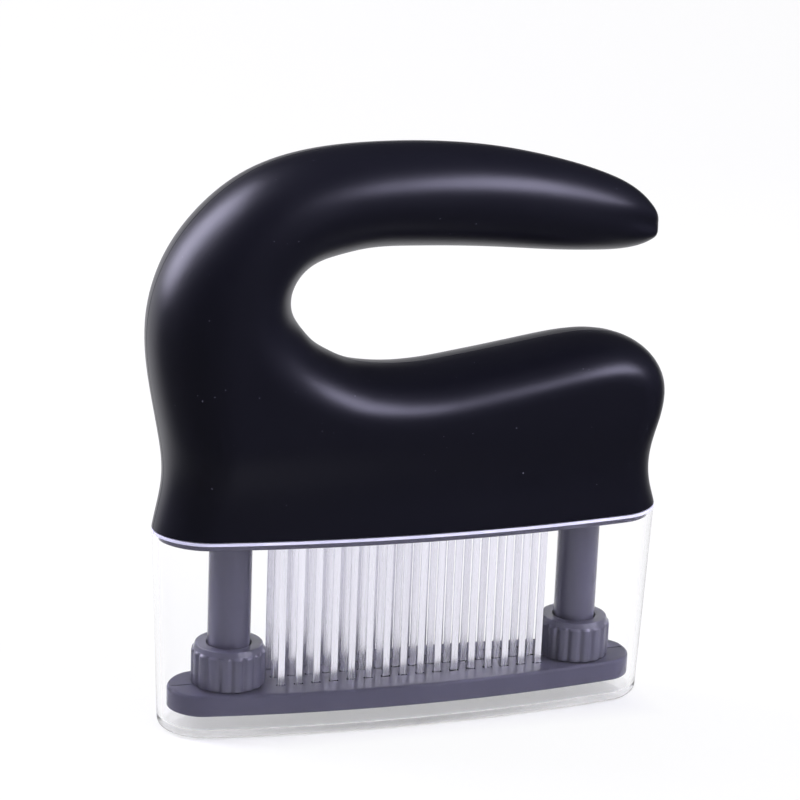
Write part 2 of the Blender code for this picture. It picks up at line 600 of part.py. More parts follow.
def make_sleeves(nylon):
    """Make the guide sleeves with the caps that hold the springs' upper ends"""
    flange_top = SLEEVE_BOTTOM + SLEEVE_FLANGE_HEIGHT
    sleeve = [
        (SLEEVE_BORE, SLEEVE_BOTTOM), (SLEEVE_FLANGE_RADIUS, SLEEVE_BOTTOM),
        (SLEEVE_FLANGE_RADIUS, flange_top), (SLEEVE_OUTER, flange_top),
        (SLEEVE_OUTER, SLEEVE_TOP), (SLEEVE_BORE, SLEEVE_TOP),
    ]
    pin_bottom = CAP_PLUG_BOTTOM - CAP_PIN_LENGTH
    plug = SLEEVE_BORE - GAP
    cap = [
        (0.0, pin_bottom), (CAP_PIN_RADIUS, pin_bottom), (CAP_PIN_RADIUS, CAP_PLUG_BOTTOM),
        (plug, CAP_PLUG_BOTTOM), (plug, CAP_BOTTOM), (SLEEVE_OUTER, CAP_BOTTOM),
        (SLEEVE_OUTER, CAP_TOP), (0.0, CAP_TOP),
    ]
    for side, x in (("left", -POST_X), ("right", POST_X)):
        add_object(side + "_guide_sleeve", turned(sleeve), nylon, (x, 0.0, 0.0))
        add_object(side + "_spring_cap", turned(cap), nylon, (x, 0.0, 0.0))


def make_springs(steel):
    """Make both compression springs, each one unbroken wire inside its post and sleeve"""
    bottom = SPRING_BOTTOM + SPRING_WIRE / 2
    top = SPRING_TOP - SPRING_WIRE / 2
    count = SPRING_COILS * SPRING_STEPS
    points = []
    for i in range(count + 1):
        angle = 2 * math.pi * i / SPRING_STEPS
        height = bottom + (top - bottom) * i / count
        points.append((SPRING_RADIUS * math.cos(angle), SPRING_RADIUS * math.sin(angle), height))
    rise = (top - bottom) / SPRING_COILS
    print("least gap between coils, mm:", round((rise - SPRING_WIRE) * 1000, 2))
    for side, x in (("left", -POST_X), ("right", POST_X)):
        curve = bpy.data.curves.new(side + "_spring", "CURVE")
        curve.dimensions = "3D"
        curve.bevel_depth = SPRING_WIRE / 2
        curve.bevel_resolution = 0
        curve.use_fill_caps = True
        wire = curve.splines.new("POLY")
        wire.points.add(len(points) - 1)
        for spot, place in zip(wire.points, points):
            spot.co = (*place, 1.0)
        curve.materials.append(steel)
        spring = bpy.data.objects.new(side + "_spring", curve)
        spring.location = (x, 0.0, 0.0)
        bpy.context.scene.collection.objects.link(spring)


def make_screws(steel):
    """Make the four screws that draw carrier and clamp plate against the handle"""
    head_bottom = CARRIER_BOTTOM + SCREW_HEAD_RECESS
    head_top = head_bottom + SCREW_HEAD_HEIGHT
    tip = CLAMP_TOP + GAP + SCREW_GRIP
    profile = [
        (0.0, head_bottom), (SCREW_HEAD_RADIUS, head_bottom), (SCREW_HEAD_RADIUS, head_top),
        (SCREW_RADIUS, head_top), (SCREW_RADIUS, tip - SCREW_RADIUS), (0.0, tip),
    ]
    names = ("left_front", "left_rear", "right_front", "right_rear")
    for name, (x, y) in zip(names, screw_places()):
        add_object(name + "_screw", turned(profile, SMALL_ROUND_STEPS), steel, (x, y, 0.0))


def smooth_rows(rows, steps):
    """Run a natural cubic spline through rows whose first two columns are its path"""
    knots = np.concatenate([[0.0], np.cumsum(np.hypot(*np.diff(rows[:, :2], axis=0).T))])
    span = np.diff(knots)
    count = len(rows)
    system = np.eye(count)
    load = np.zeros_like(rows)
    for i in range(1, count - 1):
        system[i, i - 1 : i + 2] = (span[i - 1], 2 * (span[i - 1] + span[i]), span[i])
        load[i] = 6 * ((rows[i + 1] - rows[i]) / span[i] - (rows[i] - rows[i - 1]) / span[i - 1])
    bend = np.linalg.solve(system, load)
    out = []
    for i in range(count - 1):
        for step in range(steps):
            b = step / steps
            a = 1 - b
            curve = ((a**3 - a) * bend[i] + (b**3 - b) * bend[i + 1]) * span[i] ** 2 / 6
            out.append(a * rows[i] + b * rows[i + 1] + curve)
    out.append(rows[-1])
    return np.array(out)


def handle_contours(steps):
    """Inner and outer contours as rows of x, z, rounding and half depth"""
    shares = np.array(HANDLE_STATION_SHARES)
    inner = shares[:, 0:2] * (SEAM_HALF_LENGTH, HANDLE_RISE) + (0.0, SEAM_Z)
    outer = shares[:, 2:4] * (SEAM_HALF_LENGTH, HANDLE_RISE) + (0.0, SEAM_Z)
    depth = shares[:, 4] * HANDLE_HALF_DEPTH
    half_span = np.maximum(np.hypot(*(outer - inner).T) / 2, HANDLE_TIP_ROUND)
    contours = []
    for path, round_shares in ((inner, shares[:, 5]), (outer, shares[:, 6])):
        rounding = np.where(round_shares > 0.0, round_shares * SEAM_END_RADIUS, half_span)
        contours.append(smooth_rows(np.column_stack([path, rounding, depth]), steps))
    return contours


def handle_outline(steps):
    """Both contours joined into one closed outline"""
    inner, outer = handle_contours(steps)
    return np.concatenate([inner[:-1], outer[:0:-1]])


def near_outline(outline, points):
    """Evened distance from each point to the outline, with the rounding and half depth near there

    Every stretch of the outline counts by its length over its distance to the power of FADE + 1,
    so the distance has no crease where one stretch takes over from another as the nearest.
    """
    along = np.roll(outline, -1, axis=0) - outline
    path = along[:, :2]
    length = np.maximum(np.hypot(*path.T), MERGE)
    offset = points[:, None, :] - outline[None, :, :2]
    reach = np.clip((offset * path).sum(-1) / length**2, 0.0, 1.0)
    gaps = np.maximum(np.hypot(*np.moveaxis(offset - reach[..., None] * path, -1, 0)), MERGE)
    nearest = gaps.min(axis=1)
    weight = length * (nearest[:, None] / gaps) ** (FADE + 1)
    total = weight.sum(axis=1)
    evened = nearest * (total / (STRAIGHT_TOTAL * nearest)) ** (-1 / FADE)
    trust = np.clip(nearest / HANDLE_EVENING, 0.0, 1.0)
    near = nearest + (evened - nearest) * trust * trust * (3 - 2 * trust)
    rounding, depth = (weight @ (outline + along / 2)[:, 2:] / total[:, None]).T
    return near, rounding, depth


def handle_depth(points, outline, inset):
    """Half depth of the handle's skin over (x, z) points, or of the cavity's when inset"""
    x, z = points.T
    near, rounding, upper = near_outline(outline, points)
    lift = np.clip((z - SEAM_Z) / HANDLE_BLEND_HEIGHT, 0.0, 1.0)
    ease = lift * lift * (3 - 2 * lift)
    seam = side_half_depth(x, SEAM_OUTSET)
    waist = HANDLE_WAIST * np.sin(math.pi * lift) ** 2
    depth = seam * (1 - ease) + upper * ease - waist - inset
    return depth * rounded(near - inset, np.maximum(rounding - inset, GAP))


def inset_contour(contour, inset, turn):
    """Move a contour sideways by an inset, to its left or right"""
    heading = np.gradient(contour[:, :2], axis=0)
    heading /= np.hypot(*heading.T)[:, None]
    moved = contour.copy()
    moved[:, 0] -= turn * heading[:, 1] * inset
    moved[:, 1] += turn * heading[:, 0] * inset
    return moved


def skin_grid(inner, outer, outline, inset, side):
    """Grid of points over one half's skin, a row of the fan for each station"""
    spread = (1 - np.cos(math.pi * np.arange(HANDLE_ROWS + 1) / HANDLE_ROWS)) / 2
    grid = []
    for a, b in zip(inner[:, :2], outer[:, :2]):
        points = a + spread[:, None] * (b - a)
        depth = handle_depth(points, outline, inset)
        depth[0] = 0.0
        depth[-1] = 0.0
        grid.append([(x, side * (GAP / 2 + y), z) for (x, z), y in zip(points, depth)])
    return grid


def handle_half(side):
    """Closed bmesh of one hollow half, open only at the seam's end"""
    inner, outer = handle_contours(HANDLE_STEPS)
    outline = handle_outline(HANDLE_CONTOUR_STEPS)
    skin = skin_grid(inner, outer, outline, 0.0, side)
    hollow_in = inset_contour(inner, HANDLE_WALL, -1)
    hollow_out = inset_contour(outer, HANDLE_WALL, 1)
    hollow = skin_grid(hollow_in, hollow_out, outline, HANDLE_WALL, side)
    span = np.hypot(*(outer - inner)[:, :2].T)
    wide = [i for i in range(len(span)) if span[i] > HANDLE_CAVITY_SPAN]
    first, last = wide[0], wide[-1]

    bm = bmesh.new()
    skin = [[bm.verts.new(p) for p in row] for row in skin]
    hollow = {i: [bm.verts.new(p) for p in hollow[i]] for i in range(first, last + 1)}
    for low, high in zip(skin, skin[1:]):
        for j in range(HANDLE_ROWS):
            bm.faces.new((low[j], low[j + 1], high[j + 1], high[j]))
    for i in range(len(skin) - 1):
        a, b = skin[i], skin[i + 1]
        if first <= i < last:
            c, d = hollow[i], hollow[i + 1]
            for j in range(HANDLE_ROWS):
                bm.faces.new((c[j], d[j], d[j + 1], c[j + 1]))
            bm.faces.new((a[0], b[0], d[0], c[0]))
            bm.faces.new((a[-1], c[-1], d[-1], b[-1]))
        else:
            bm.faces.new((a[0], b[0], b[-1], a[-1]))
    for i in (first, last):
        bm.faces.new(hollow[i])
        bm.faces.new((skin[i][0], hollow[i][0], hollow[i][-1], skin[i][-1]))
    bmesh.ops.remove_doubles(bm, verts=skin[0] + skin[-1], dist=MERGE)
    bmesh.ops.recalc_face_normals(bm, faces=bm.faces)
    cut = bmesh.ops.bisect_plane(
        bm, geom=bm.verts[:] + bm.edges[:] + bm.faces[:], plane_co=(0.0, 0.0, SEAM_Z),
        plane_no=(0.0, 0.0, 1.0), clear_inner=True, dist=MERGE,
    )
    rim = [e for e in cut["geom_cut"] if isinstance(e, bmesh.types.BMEdge)]
    bmesh.ops.triangle_fill(bm, use_beauty=True, edges=rim)
    return bm


def make_handle(black):
    """Make the front and rear halves with the bosses for the carrier screws"""
    outline = handle_outline(HANDLE_CONTOUR_STEPS)
    for side, name in ((-1, "handle_front_half"), (1, "handle_rear_half")):
        half = add_object(name, handle_half(side), black)
        boss_bottom = CLAMP_TOP + GAP
        boss_top = boss_bottom + SCREW_BOSS_HEIGHT
        bosses = bmesh.new()
        ribs = bmesh.new()
        holes = bmesh.new()
        for x in (-SCREW_X, SCREW_X):
            y = side * SCREW_Y
            add_cylinder(bosses, SCREW_BOSS_RADIUS, boss_bottom, boss_top, x, y, SMALL_ROUND_STEPS)
            add_cylinder(
                holes, SCREW_RADIUS + GAP, boss_bottom - OVERRUN, boss_top - OVERRUN, x, y, SMALL_ROUND_STEPS
            )
            skin = float(handle_depth(np.array([(x, boss_bottom)]), outline, 0.0)[0])
            wall_y = skin - HANDLE_WALL / 2
            near, far = sorted((side * (SCREW_Y + SCREW_RADIUS + OVERRUN), side * wall_y))
            half_rib = SCREW_RIB_THICKNESS / 2
            add_box(ribs, (x - half_rib, near, boss_bottom + GAP), (x + half_rib, far, boss_top - GAP))
        boolean(half, add_object(name + "_boss_helper", bosses, None), "UNION")
        boolean(half, add_object(name + "_rib_helper", ribs, None), "UNION")
        boolean(half, add_object(name + "_boss_cutter", holes, None), "DIFFERENCE")


def main():
    """Build the tool"""
    clear_scene()
    black = plastic("handle_black", (0.012, 0.012, 0.018), 0.32)
    grey = plastic("mechanism_grey", (0.085, 0.080, 0.115), 0.28)
    nylon = plastic("sleeve_nylon", (0.72, 0.71, 0.67), 0.45)
    steel = plastic("polished_steel", (0.78, 0.78, 0.82), 0.22, metallic=1.0)
    clear = plastic("clear_cover", (0.92, 0.93, 0.97), 0.05, alpha=0.22)
    make_handle(black)
    make_carrier(grey)
    make_clamp_plate(grey)
    make_blades(steel)
    make_sleeves(nylon)
    make_springs(steel)
    make_screws(steel)
    make_guard(grey)
    make_posts(grey, steel)
    make_collars(grey)
    make_cover(clear)


main()
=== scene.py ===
"""Looks of the blade meat tenderizer: fine shells, finishes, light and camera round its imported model.

Metres, +Z up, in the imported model's frame: the origin is the middle of the cover's underside.
"""
import math

import bmesh
import bpy
import numpy as np
from mathutils import Matrix, Vector


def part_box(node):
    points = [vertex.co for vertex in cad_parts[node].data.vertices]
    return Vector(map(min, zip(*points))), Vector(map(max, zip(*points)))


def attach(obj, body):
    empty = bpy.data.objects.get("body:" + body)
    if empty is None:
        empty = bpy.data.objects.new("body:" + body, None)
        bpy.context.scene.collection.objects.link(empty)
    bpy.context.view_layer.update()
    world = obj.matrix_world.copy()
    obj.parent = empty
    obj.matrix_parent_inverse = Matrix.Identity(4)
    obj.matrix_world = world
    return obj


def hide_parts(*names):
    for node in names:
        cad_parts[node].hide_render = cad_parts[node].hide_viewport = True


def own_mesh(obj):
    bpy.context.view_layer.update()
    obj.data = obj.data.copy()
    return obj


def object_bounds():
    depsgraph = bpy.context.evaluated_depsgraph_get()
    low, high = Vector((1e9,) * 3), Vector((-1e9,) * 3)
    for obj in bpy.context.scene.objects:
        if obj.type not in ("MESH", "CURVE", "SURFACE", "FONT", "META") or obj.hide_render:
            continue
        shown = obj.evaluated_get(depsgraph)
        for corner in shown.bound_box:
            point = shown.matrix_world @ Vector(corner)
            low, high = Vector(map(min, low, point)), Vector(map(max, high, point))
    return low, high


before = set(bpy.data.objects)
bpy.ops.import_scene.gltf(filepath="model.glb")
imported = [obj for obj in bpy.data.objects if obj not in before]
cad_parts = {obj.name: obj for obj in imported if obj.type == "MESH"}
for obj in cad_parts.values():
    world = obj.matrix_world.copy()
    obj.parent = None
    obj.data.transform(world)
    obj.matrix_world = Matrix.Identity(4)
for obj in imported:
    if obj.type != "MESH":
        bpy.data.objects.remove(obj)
CAD_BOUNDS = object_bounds()

# Running gap between pieces, how far a cutter runs past what it cuts, and what counts as one point
GAP = 0.0003
OVERRUN = 0.001
MERGE = 0.00001

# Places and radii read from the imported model
GUARD_LOW, GUARD_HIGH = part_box("guard_plate")
POST_LOW, POST_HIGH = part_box("right_post")
COLLAR_LOW, COLLAR_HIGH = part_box("right_lock_collar")
CARRIER_LOW, CARRIER_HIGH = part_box("blade_carrier")
CLAMP_LOW, CLAMP_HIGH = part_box("blade_clamp_plate")
COVER_LOW, COVER_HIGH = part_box("blade_cover")
SLEEVE_LOW, SLEEVE_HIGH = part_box("right_guide_sleeve")
CLIP_LOW, CLIP_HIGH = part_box("right_stop_clip")
SPRING_LOW, SPRING_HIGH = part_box("right_spring")
SCREW_LOW, SCREW_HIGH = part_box("right_front_screw")
ROW_LOW, ROW_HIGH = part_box("front_blade_row")
REAR_ROW_LOW, REAR_ROW_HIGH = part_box("rear_blade_row")

# Blades
BLADES_PER_ROW = 16
BLADE_WIDTH = 0.00195
BLADE_HEAD_WIDTH = 0.0036
BLADE_HEAD_HEIGHT = 0.0015
BLADE_POINT_LENGTH = 0.0032
BLADE_POINT_WIDTH = 0.00016
BLADE_EDGE_ROUND = 0.00007
BLADE_THICKNESS = ROW_HIGH.y - ROW_LOW.y
BLADE_TIP = ROW_LOW.z
ROW_HALF_LENGTH = ROW_HIGH.x - BLADE_HEAD_WIDTH / 2
BLADE_PITCH = 2 * ROW_HALF_LENGTH / (BLADES_PER_ROW - 1)
ROW_NAMES = ("front", "middle", "rear")
ROW_PITCH = (REAR_ROW_LOW.y - ROW_LOW.y) / (len(ROW_NAMES) - 1)

# Posts, guard and collars
POST_X = (POST_LOW.x + POST_HIGH.x) / 2
POST_RADIUS = 0.0058
POST_BORE_RADIUS = 0.0042
POST_FOOT_RADIUS = (POST_HIGH.x - POST_LOW.x) / 2
POST_FOOT_HEIGHT = 0.0020
POST_TENON_RADIUS = 0.0046
POST_GROOVE_DEPTH = 0.0008
POST_EDGE_ROUND = 0.0003
GUARD_HALF_LENGTH = GUARD_HIGH.x
GUARD_HALF_DEPTH = GUARD_HIGH.y
GUARD_SIDE_BULGE = 0.0060
GUARD_END_RADIUS = 0.0080
GUARD_THICKNESS = 0.0060
GUARD_EDGE_ROUND = 0.0008
GUARD_BOTTOM = GUARD_LOW.z
GUARD_TOP = GUARD_BOTTOM + GUARD_THICKNESS
BOSS_RADIUS = 0.0066
BOSS_FLOOR = 0.0015
BOSS_TOP = GUARD_HIGH.z
LUG_REACH = 0.0012
LUG_HEIGHT = 0.0026
LUG_ANGLE = math.radians(60)
MARK_LENGTH = 0.0062
MARK_WIDTH = 0.0005
MARK_DEPTH = 0.0005
MARK_FROM_END = 0.0010
COLLAR_RADIUS = 0.0102
COLLAR_WALL = 0.0018
COLLAR_SHOULDER = 0.0020
COLLAR_FLUTES = 18
COLLAR_FLUTE_SHARPNESS = 2.4
COLLAR_FLUTE_DEPTH = 0.0006
COLLAR_EDGE_ROUND = 0.0004
COLLAR_BOTTOM = COLLAR_LOW.z
COLLAR_TOP = COLLAR_HIGH.z
POST_FOOT_BOTTOM = BOSS_TOP + GAP
POST_FOOT_TOP = POST_FOOT_BOTTOM + POST_FOOT_HEIGHT

# Cover, carrier and the seam under the handle, moved out from the guard's outline
COVER_WALL = 0.0015
COVER_FLOOR = 0.0022
COVER_EDGE_ROUND = 0.0026
COVER_RIM_ROUND = 0.0003
COVER_RIM_HEIGHT = 0.0008
COVER_DULL_HEIGHT = 0.0009
GUARD_TO_COVER_SIDE = 0.0010
COVER_TOP = COVER_HIGH.z
SEAM_Z = COVER_TOP + GAP
SEAM_OUTSET = COVER_HIGH.x - GUARD_HALF_LENGTH
COVER_FOOT_OUTSET = GUARD_TO_COVER_SIDE + COVER_WALL
SPIGOT_OUTSET = CARRIER_HIGH.x - GUARD_HALF_LENGTH
SPIGOT_EDGE_ROUND = 0.0005
HANDLE_WALL = 0.0026
PLUG_INSET = 0.0019
PLUG_OUTSET = SEAM_OUTSET - HANDLE_WALL - PLUG_INSET
SEAM_HALF_LENGTH = GUARD_HALF_LENGTH + SEAM_OUTSET
SEAM_END_RADIUS = GUARD_END_RADIUS + SEAM_OUTSET

# Screws and the bosses that they draw up to
SCREW_X = (SCREW_LOW.x + SCREW_HIGH.x) / 2
SCREW_Y = -(SCREW_LOW.y + SCREW_HIGH.y) / 2
SCREW_RADIUS = 0.0014
SCREW_HEAD_RADIUS = 0.0028
SCREW_HEAD_SINK = 0.0023
SCREW_HEAD_TOP = CARRIER_LOW.z + SCREW_HEAD_SINK
SCREW_BOSS_RADIUS = 0.0030
SCREW_BOSS_HEIGHT = 0.0190
SCREW_RIB_THICKNESS = 0.0024

# Springs
SPRING_WIRE = 0.0009
SPRING_COILS = 11
SPRING_RADIUS = (SPRING_HIGH.x - SPRING_LOW.x - SPRING_WIRE) / 2
SPRING_HEIGHT = SPRING_HIGH.z - SPRING_LOW.z

# Handle: two hollow halves that meet on the plane y = 0
HANDLE_RISE = CAD_BOUNDS[1].z - SEAM_Z
HANDLE_HALF_DEPTH = 0.0208
HANDLE_BLEND_HEIGHT = 0.0280
HANDLE_WAIST = 0.0010
HANDLE_CAVITY_SPAN = 0.0140
HANDLE_TIP_ROUND = 0.0040
HANDLE_EVENING = 0.0040
HANDLE_LIP = 0.00016
HANDLE_LIP_GAP = 0.00001
HANDLE_STEPS = 8
HANDLE_CONTOUR_STEPS = 16
HANDLE_ROWS = 44
LOBE_TOP_SHARE = 0.482

# How fast far stretches of the handle's outline stop counting, and what a straight line sums to
FADE = 6
STRAIGHT_TOTAL = 16 / 15

# Stations that fan round the C, from the arm's tip to the free end of the block. Columns: inner x
# and z, outer x and z, half depth, inner rounding, outer rounding. x follows the half length at
# the seam, z the rise above the seam, depth the half depth, and rounding the seam's end radius.
# A rounding of zero takes half the station's span. The last stations lie below the seam, which
# cuts them off.
HANDLE_STATION_SHARES = (
    (0.943, 0.776, 0.943, 0.776, 0.30, 0.00, 0.00),
    (0.939, 0.758, 0.938, 0.794, 0.35, 0.00, 0.00),
    (0.925, 0.741, 0.921, 0.818, 0.41, 0.00, 0.00),
    (0.898, 0.727, 0.893, 0.842, 0.48, 0.00, 0.00),
    (0.832, 0.712, 0.849, 0.868, 0.56, 0.00, 0.00),
    (0.690, 0.706, 0.734, 0.908, 0.65, 0.00, 0.00),
    (0.528, 0.710, 0.549, 0.948, 0.73, 0.00, 0.00),
    (0.334, 0.720, 0.334, 0.980, 0.79, 0.00, 0.00),
    (0.125, 0.729, 0.097, 0.998, 0.84, 0.00, 0.00),
    (-0.070, 0.733, -0.167, 1.000, 0.88, 0.00, 0.00),
    (-0.223, 0.730, -0.427, 0.983, 0.91, 0.00, 0.00),
    (-0.347, 0.713, -0.658, 0.931, 0.94, 0.00, 0.00),
    (-0.450, 0.684, -0.842, 0.832, 0.97, 0.00, 0.00),
    (-0.503, 0.631, -0.968, 0.707, 0.99, 0.00, 0.00),
    (-0.500, 0.570, -1.029, 0.554, 1.00, 1.45, 1.50),
    (-0.460, 0.525, -1.021, 0.416, 1.00, 1.33, 1.45),
    (-0.407, 0.485, -0.981, 0.262, 1.00, 1.22, 1.30),
    (-0.340, 0.455, -0.964, 0.134, 1.00, 1.14, 1.15),
    (-0.264, 0.431, -1.000, 0.000, 1.00, 1.08, 1.00),
    (-0.195, 0.421, -1.004, -0.100, 1.00, 1.05, 1.00),
    (-0.125, 0.416, -0.958, -0.187, 1.00, 1.04, 0.80),
    (-0.055, 0.415, -0.834, -0.236, 1.00, 1.03, 0.50),
    (0.042, 0.419, -0.625, -0.245, 0.99, 1.01, 0.30),
    (0.167, 0.431, -0.389, -0.245, 0.98, 0.98, 0.30),
    (0.306, 0.446, -0.125, -0.245, 0.97, 0.94, 0.30),
    (0.445, 0.462, 0.120, -0.245, 0.96, 0.90, 0.30),
    (0.584, 0.477, 0.345, -0.245, 0.95, 0.86, 0.30),
    (0.709, LOBE_TOP_SHARE, 0.520, -0.245, 0.93, 0.82, 0.30),
    (0.832, 0.467, 0.630, -0.245, 0.91, 0.80, 0.30),
    (0.922, 0.431, 0.700, -0.245, 0.90, 0.81, 0.30),
    (0.977, 0.374, 0.750, -0.245, 0.89, 0.84, 0.30),
    (0.990, 0.301, 0.790, -0.245, 0.88, 0.89, 0.30),
    (0.966, 0.205, 0.825, -0.245, 0.88, 0.95, 0.30),
    (0.959, 0.125, 0.857, -0.245, 0.88, 0.98, 0.30),
    (0.973, 0.061, 0.887, -0.245, 0.88, 1.00, 0.30),
    (1.000, 0.000, 0.917, -0.243, 0.88, 1.00, 0.30),
    (1.018, -0.060, 0.948, -0.236, 0.88, 1.00, 0.30),
    (1.030, -0.120, 0.982, -0.217, 0.88, 1.00, 0.30),
    (1.038, -0.170, 1.038, -0.170, 0.88, 1.00, 1.00),
)

# Facets
ROUND_STEPS = 72
SMALL_ROUND_STEPS = 32
COLLAR_FLUTE_STEPS = 14
SPRING_STEPS = 24
SPRING_WIRE_STEPS = 12
OUTLINE_SIDE_STEPS = 40
OUTLINE_END_STEPS = 18
CORNER_STEPS = 6
SMOOTH_ANGLE = math.radians(35)

# A ray's depths are whole numbers, so this parts no bounce from one or more
HALF_BOUNCE = 0.5


def add_object(name, bm, material=None, at=(0.0, 0.0, 0.0)):
    """Turn a closed bmesh into a smooth-shaded object"""
    bmesh.ops.recalc_face_normals(bm, faces=bm.faces)
    mesh = bpy.data.meshes.new(name)
    bm.to_mesh(mesh)
    bm.free()
    mesh.shade_smooth()
    if material is not None:
        mesh.materials.append(material)
    thing = bpy.data.objects.new(name, mesh)
    thing.location = at
    bpy.context.scene.collection.objects.link(thing)
    return thing


def boolean(target, helper, operation):
    """Join a helper to a target or cut it out, and remove the helper"""
    step = target.modifiers.new(operation.title(), "BOOLEAN")
    step.operation = operation
    step.solver = "EXACT"
    step.object = helper
    bpy.context.view_layer.update()
    baked = bpy.data.meshes.new_from_object(target.evaluated_get(bpy.context.evaluated_depsgraph_get()))
    target.modifiers.clear()
    target.data = baked
    bpy.data.objects.remove(helper, do_unlink=True)


def finish_piece(thing, body, slot, *nodes):
    """Set sharp edges and even normals, hang the piece on the empty of what it moves with, and hide the
    imported nodes that it replaces
    """
    thing.data.shade_smooth()
    thing.data.set_sharp_from_angle(angle=SMOOTH_ANGLE)
    even = thing.modifiers.new("Even normals", "WEIGHTED_NORMAL")
    even.keep_sharp = True
    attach(thing, body)
    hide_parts(*nodes)
    return thing


def add_box(bm, low, high):
    """Add a box between two corners"""
    size = [high[i] - low[i] for i in range(3)]
    middle = [(high[i] + low[i]) / 2 for i in range(3)]
    bmesh.ops.create_cube(bm, size=1.0, matrix=Matrix.Translation(middle) @ Matrix.Diagonal((*size, 1.0)))


def add_cylinder(bm, radius, bottom, top, x=0.0, y=0.0, steps=ROUND_STEPS):
    """Add an upright cylinder"""
    bmesh.ops.create_cone(
        bm, cap_ends=True, segments=steps, radius1=radius, radius2=radius, depth=top - bottom,
        matrix=Matrix.Translation((x, y, (bottom + top) / 2)),
    )


def add_prism(bm, outline, bottom, top):
    """Extrude a closed outline of (x, y) points between two heights"""
    face = bm.faces.new([bm.verts.new((x, y, bottom)) for x, y in outline])
    grown = bmesh.ops.extrude_face_region(bm, geom=[face])
    moved = [v for v in grown["geom"] if isinstance(v, bmesh.types.BMVert)]
    bmesh.ops.translate(bm, verts=moved, vec=(0.0, 0.0, top - bottom))


def filleted(corners):
    """Closed profile whose corners, each (u, v, radius), are turned into arcs"""
    out = []
    for i, (u, v, radius) in enumerate(corners):
        here = np.array((u, v))
        if radius == 0.0:
            out.append((u, v))
            continue
        back = np.array(corners[i - 1][:2]) - here
        fore = np.array(corners[(i + 1) % len(corners)][:2]) - here
        back /= np.hypot(*back)
        fore /= np.hypot(*fore)
        half = math.acos(max(-1.0, min(1.0, float(back @ fore)))) / 2
        centre = here + (back + fore) / np.hypot(*(back + fore)) * radius / math.sin(half)
        first = here + back * radius / math.tan(half) - centre
        last = here + fore * radius / math.tan(half) - centre
        start = math.atan2(first[1], first[0])
        sweep = math.remainder(math.atan2(last[1], last[0]) - start, 2 * math.pi)
        for step in range(CORNER_STEPS + 1):
            angle = start + sweep * step / CORNER_STEPS
            out.append((centre[0] + radius * math.cos(angle), centre[1] + radius * math.sin(angle)))
    return out


def add_rings(bm, rings, close):
    """Skin a list of vertex rings, and close it on itself or with a cap at each end"""
    pairs = list(zip(rings, rings[1:]))
    if close:
        pairs.append((rings[-1], rings[0]))
    for low, high in pairs:
        for i in range(len(low)):
            j = (i + 1) % len(low)
            bm.faces.new((low[i], low[j], high[j], high[i]))
    if not close:
        bm.faces.new(rings[0])
        bm.faces.new(rings[-1])


def turned(profile, steps=ROUND_STEPS, sunk=None):
    """Bmesh of a profile of (radius, height) points spun round its axis, with flutes where asked"""
    bm = bmesh.new()
    rings = []
    for radius, height in profile:
        ring = []
        for i in range(steps):
            angle = 2 * math.pi * i / steps
            r = radius - (sunk(angle, radius, height) if sunk else 0.0)
            ring.append(bm.verts.new((r * math.cos(angle), r * math.sin(angle), height)))
        rings.append(ring)
    on_axis = profile[0][0] == 0.0
    add_rings(bm, rings, close=not on_axis)
    if on_axis:
        bmesh.ops.delete(bm, geom=[f for f in bm.faces if len(f.verts) > 4], context="FACES_ONLY")
        bmesh.ops.remove_doubles(bm, verts=rings[0] + rings[-1], dist=MERGE)
        bmesh.ops.delete(bm, geom=[v for v in bm.verts if not v.link_faces], context="VERTS")
    return bm


def side_half_depth(x, outset):
    """Half depth of the long, gently bowed plan at x, before its ends are rounded"""
    return GUARD_HALF_DEPTH + outset - GUARD_SIDE_BULGE * (x / GUARD_HALF_LENGTH) ** 2


def rounded(distance, radius):
    """Share of the full depth that is left at a distance inside an elliptical edge"""
    reach = np.clip(distance / radius, 0.0, 1.0)
    return np.sqrt(1.0 - (1.0 - reach) ** 2)


def plan_outline(outset):
    """Closed outline shared by guard, cover, carrier and seam, moved out from the guard's own"""
    half_length = GUARD_HALF_LENGTH + outset
    radius = GUARD_END_RADIUS + outset
    straight = half_length - radius
    sides = [straight * (2 * i / OUTLINE_SIDE_STEPS - 1) for i in range(OUTLINE_SIDE_STEPS + 1)]
    quarter = [math.pi / 2 * i / OUTLINE_END_STEPS for i in range(1, OUTLINE_END_STEPS)]
    right = [straight + radius * math.sin(angle) for angle in quarter]
    stations = [-x for x in reversed(right)] + sides + right
    half = [(x, side_half_depth(x, outset) * rounded(half_length - abs(x), radius)) for x in stations]
    front = [(x, -y) for x, y in half]
    rear = [(x, y) for x, y in reversed(half)]
    return [(-half_length, 0.0)] + front + [(half_length, 0.0)] + rear


def add_tub(bm, profile):
    """Skin plan outlines of given outsets and heights"""
    rings = [[bm.verts.new((x, y, z)) for x, y in plan_outline(outset)] for outset, z in profile]
    add_rings(bm, rings, close=False)


def row_place(row):
    """The y of a row of blades"""
    return (row - (len(ROW_NAMES) - 1) / 2) * ROW_PITCH


def blade_places():
    """Yield the x and y of each blade"""
    for row in range(len(ROW_NAMES)):
        for i in range(BLADES_PER_ROW):
            yield i * BLADE_PITCH - ROW_HALF_LENGTH, row_place(row)


def slot_cutter(bottom, top):
    """Make the cutter for one slot per blade"""
    bm = bmesh.new()
    half_x = BLADE_WIDTH / 2 + GAP
    half_y = BLADE_THICKNESS / 2 + GAP
    for x, y in blade_places():
        add_box(bm, (x - half_x, y - half_y, bottom - OVERRUN), (x + half_x, y + half_y, top + OVERRUN))
    return add_object("slot_cutter", bm)


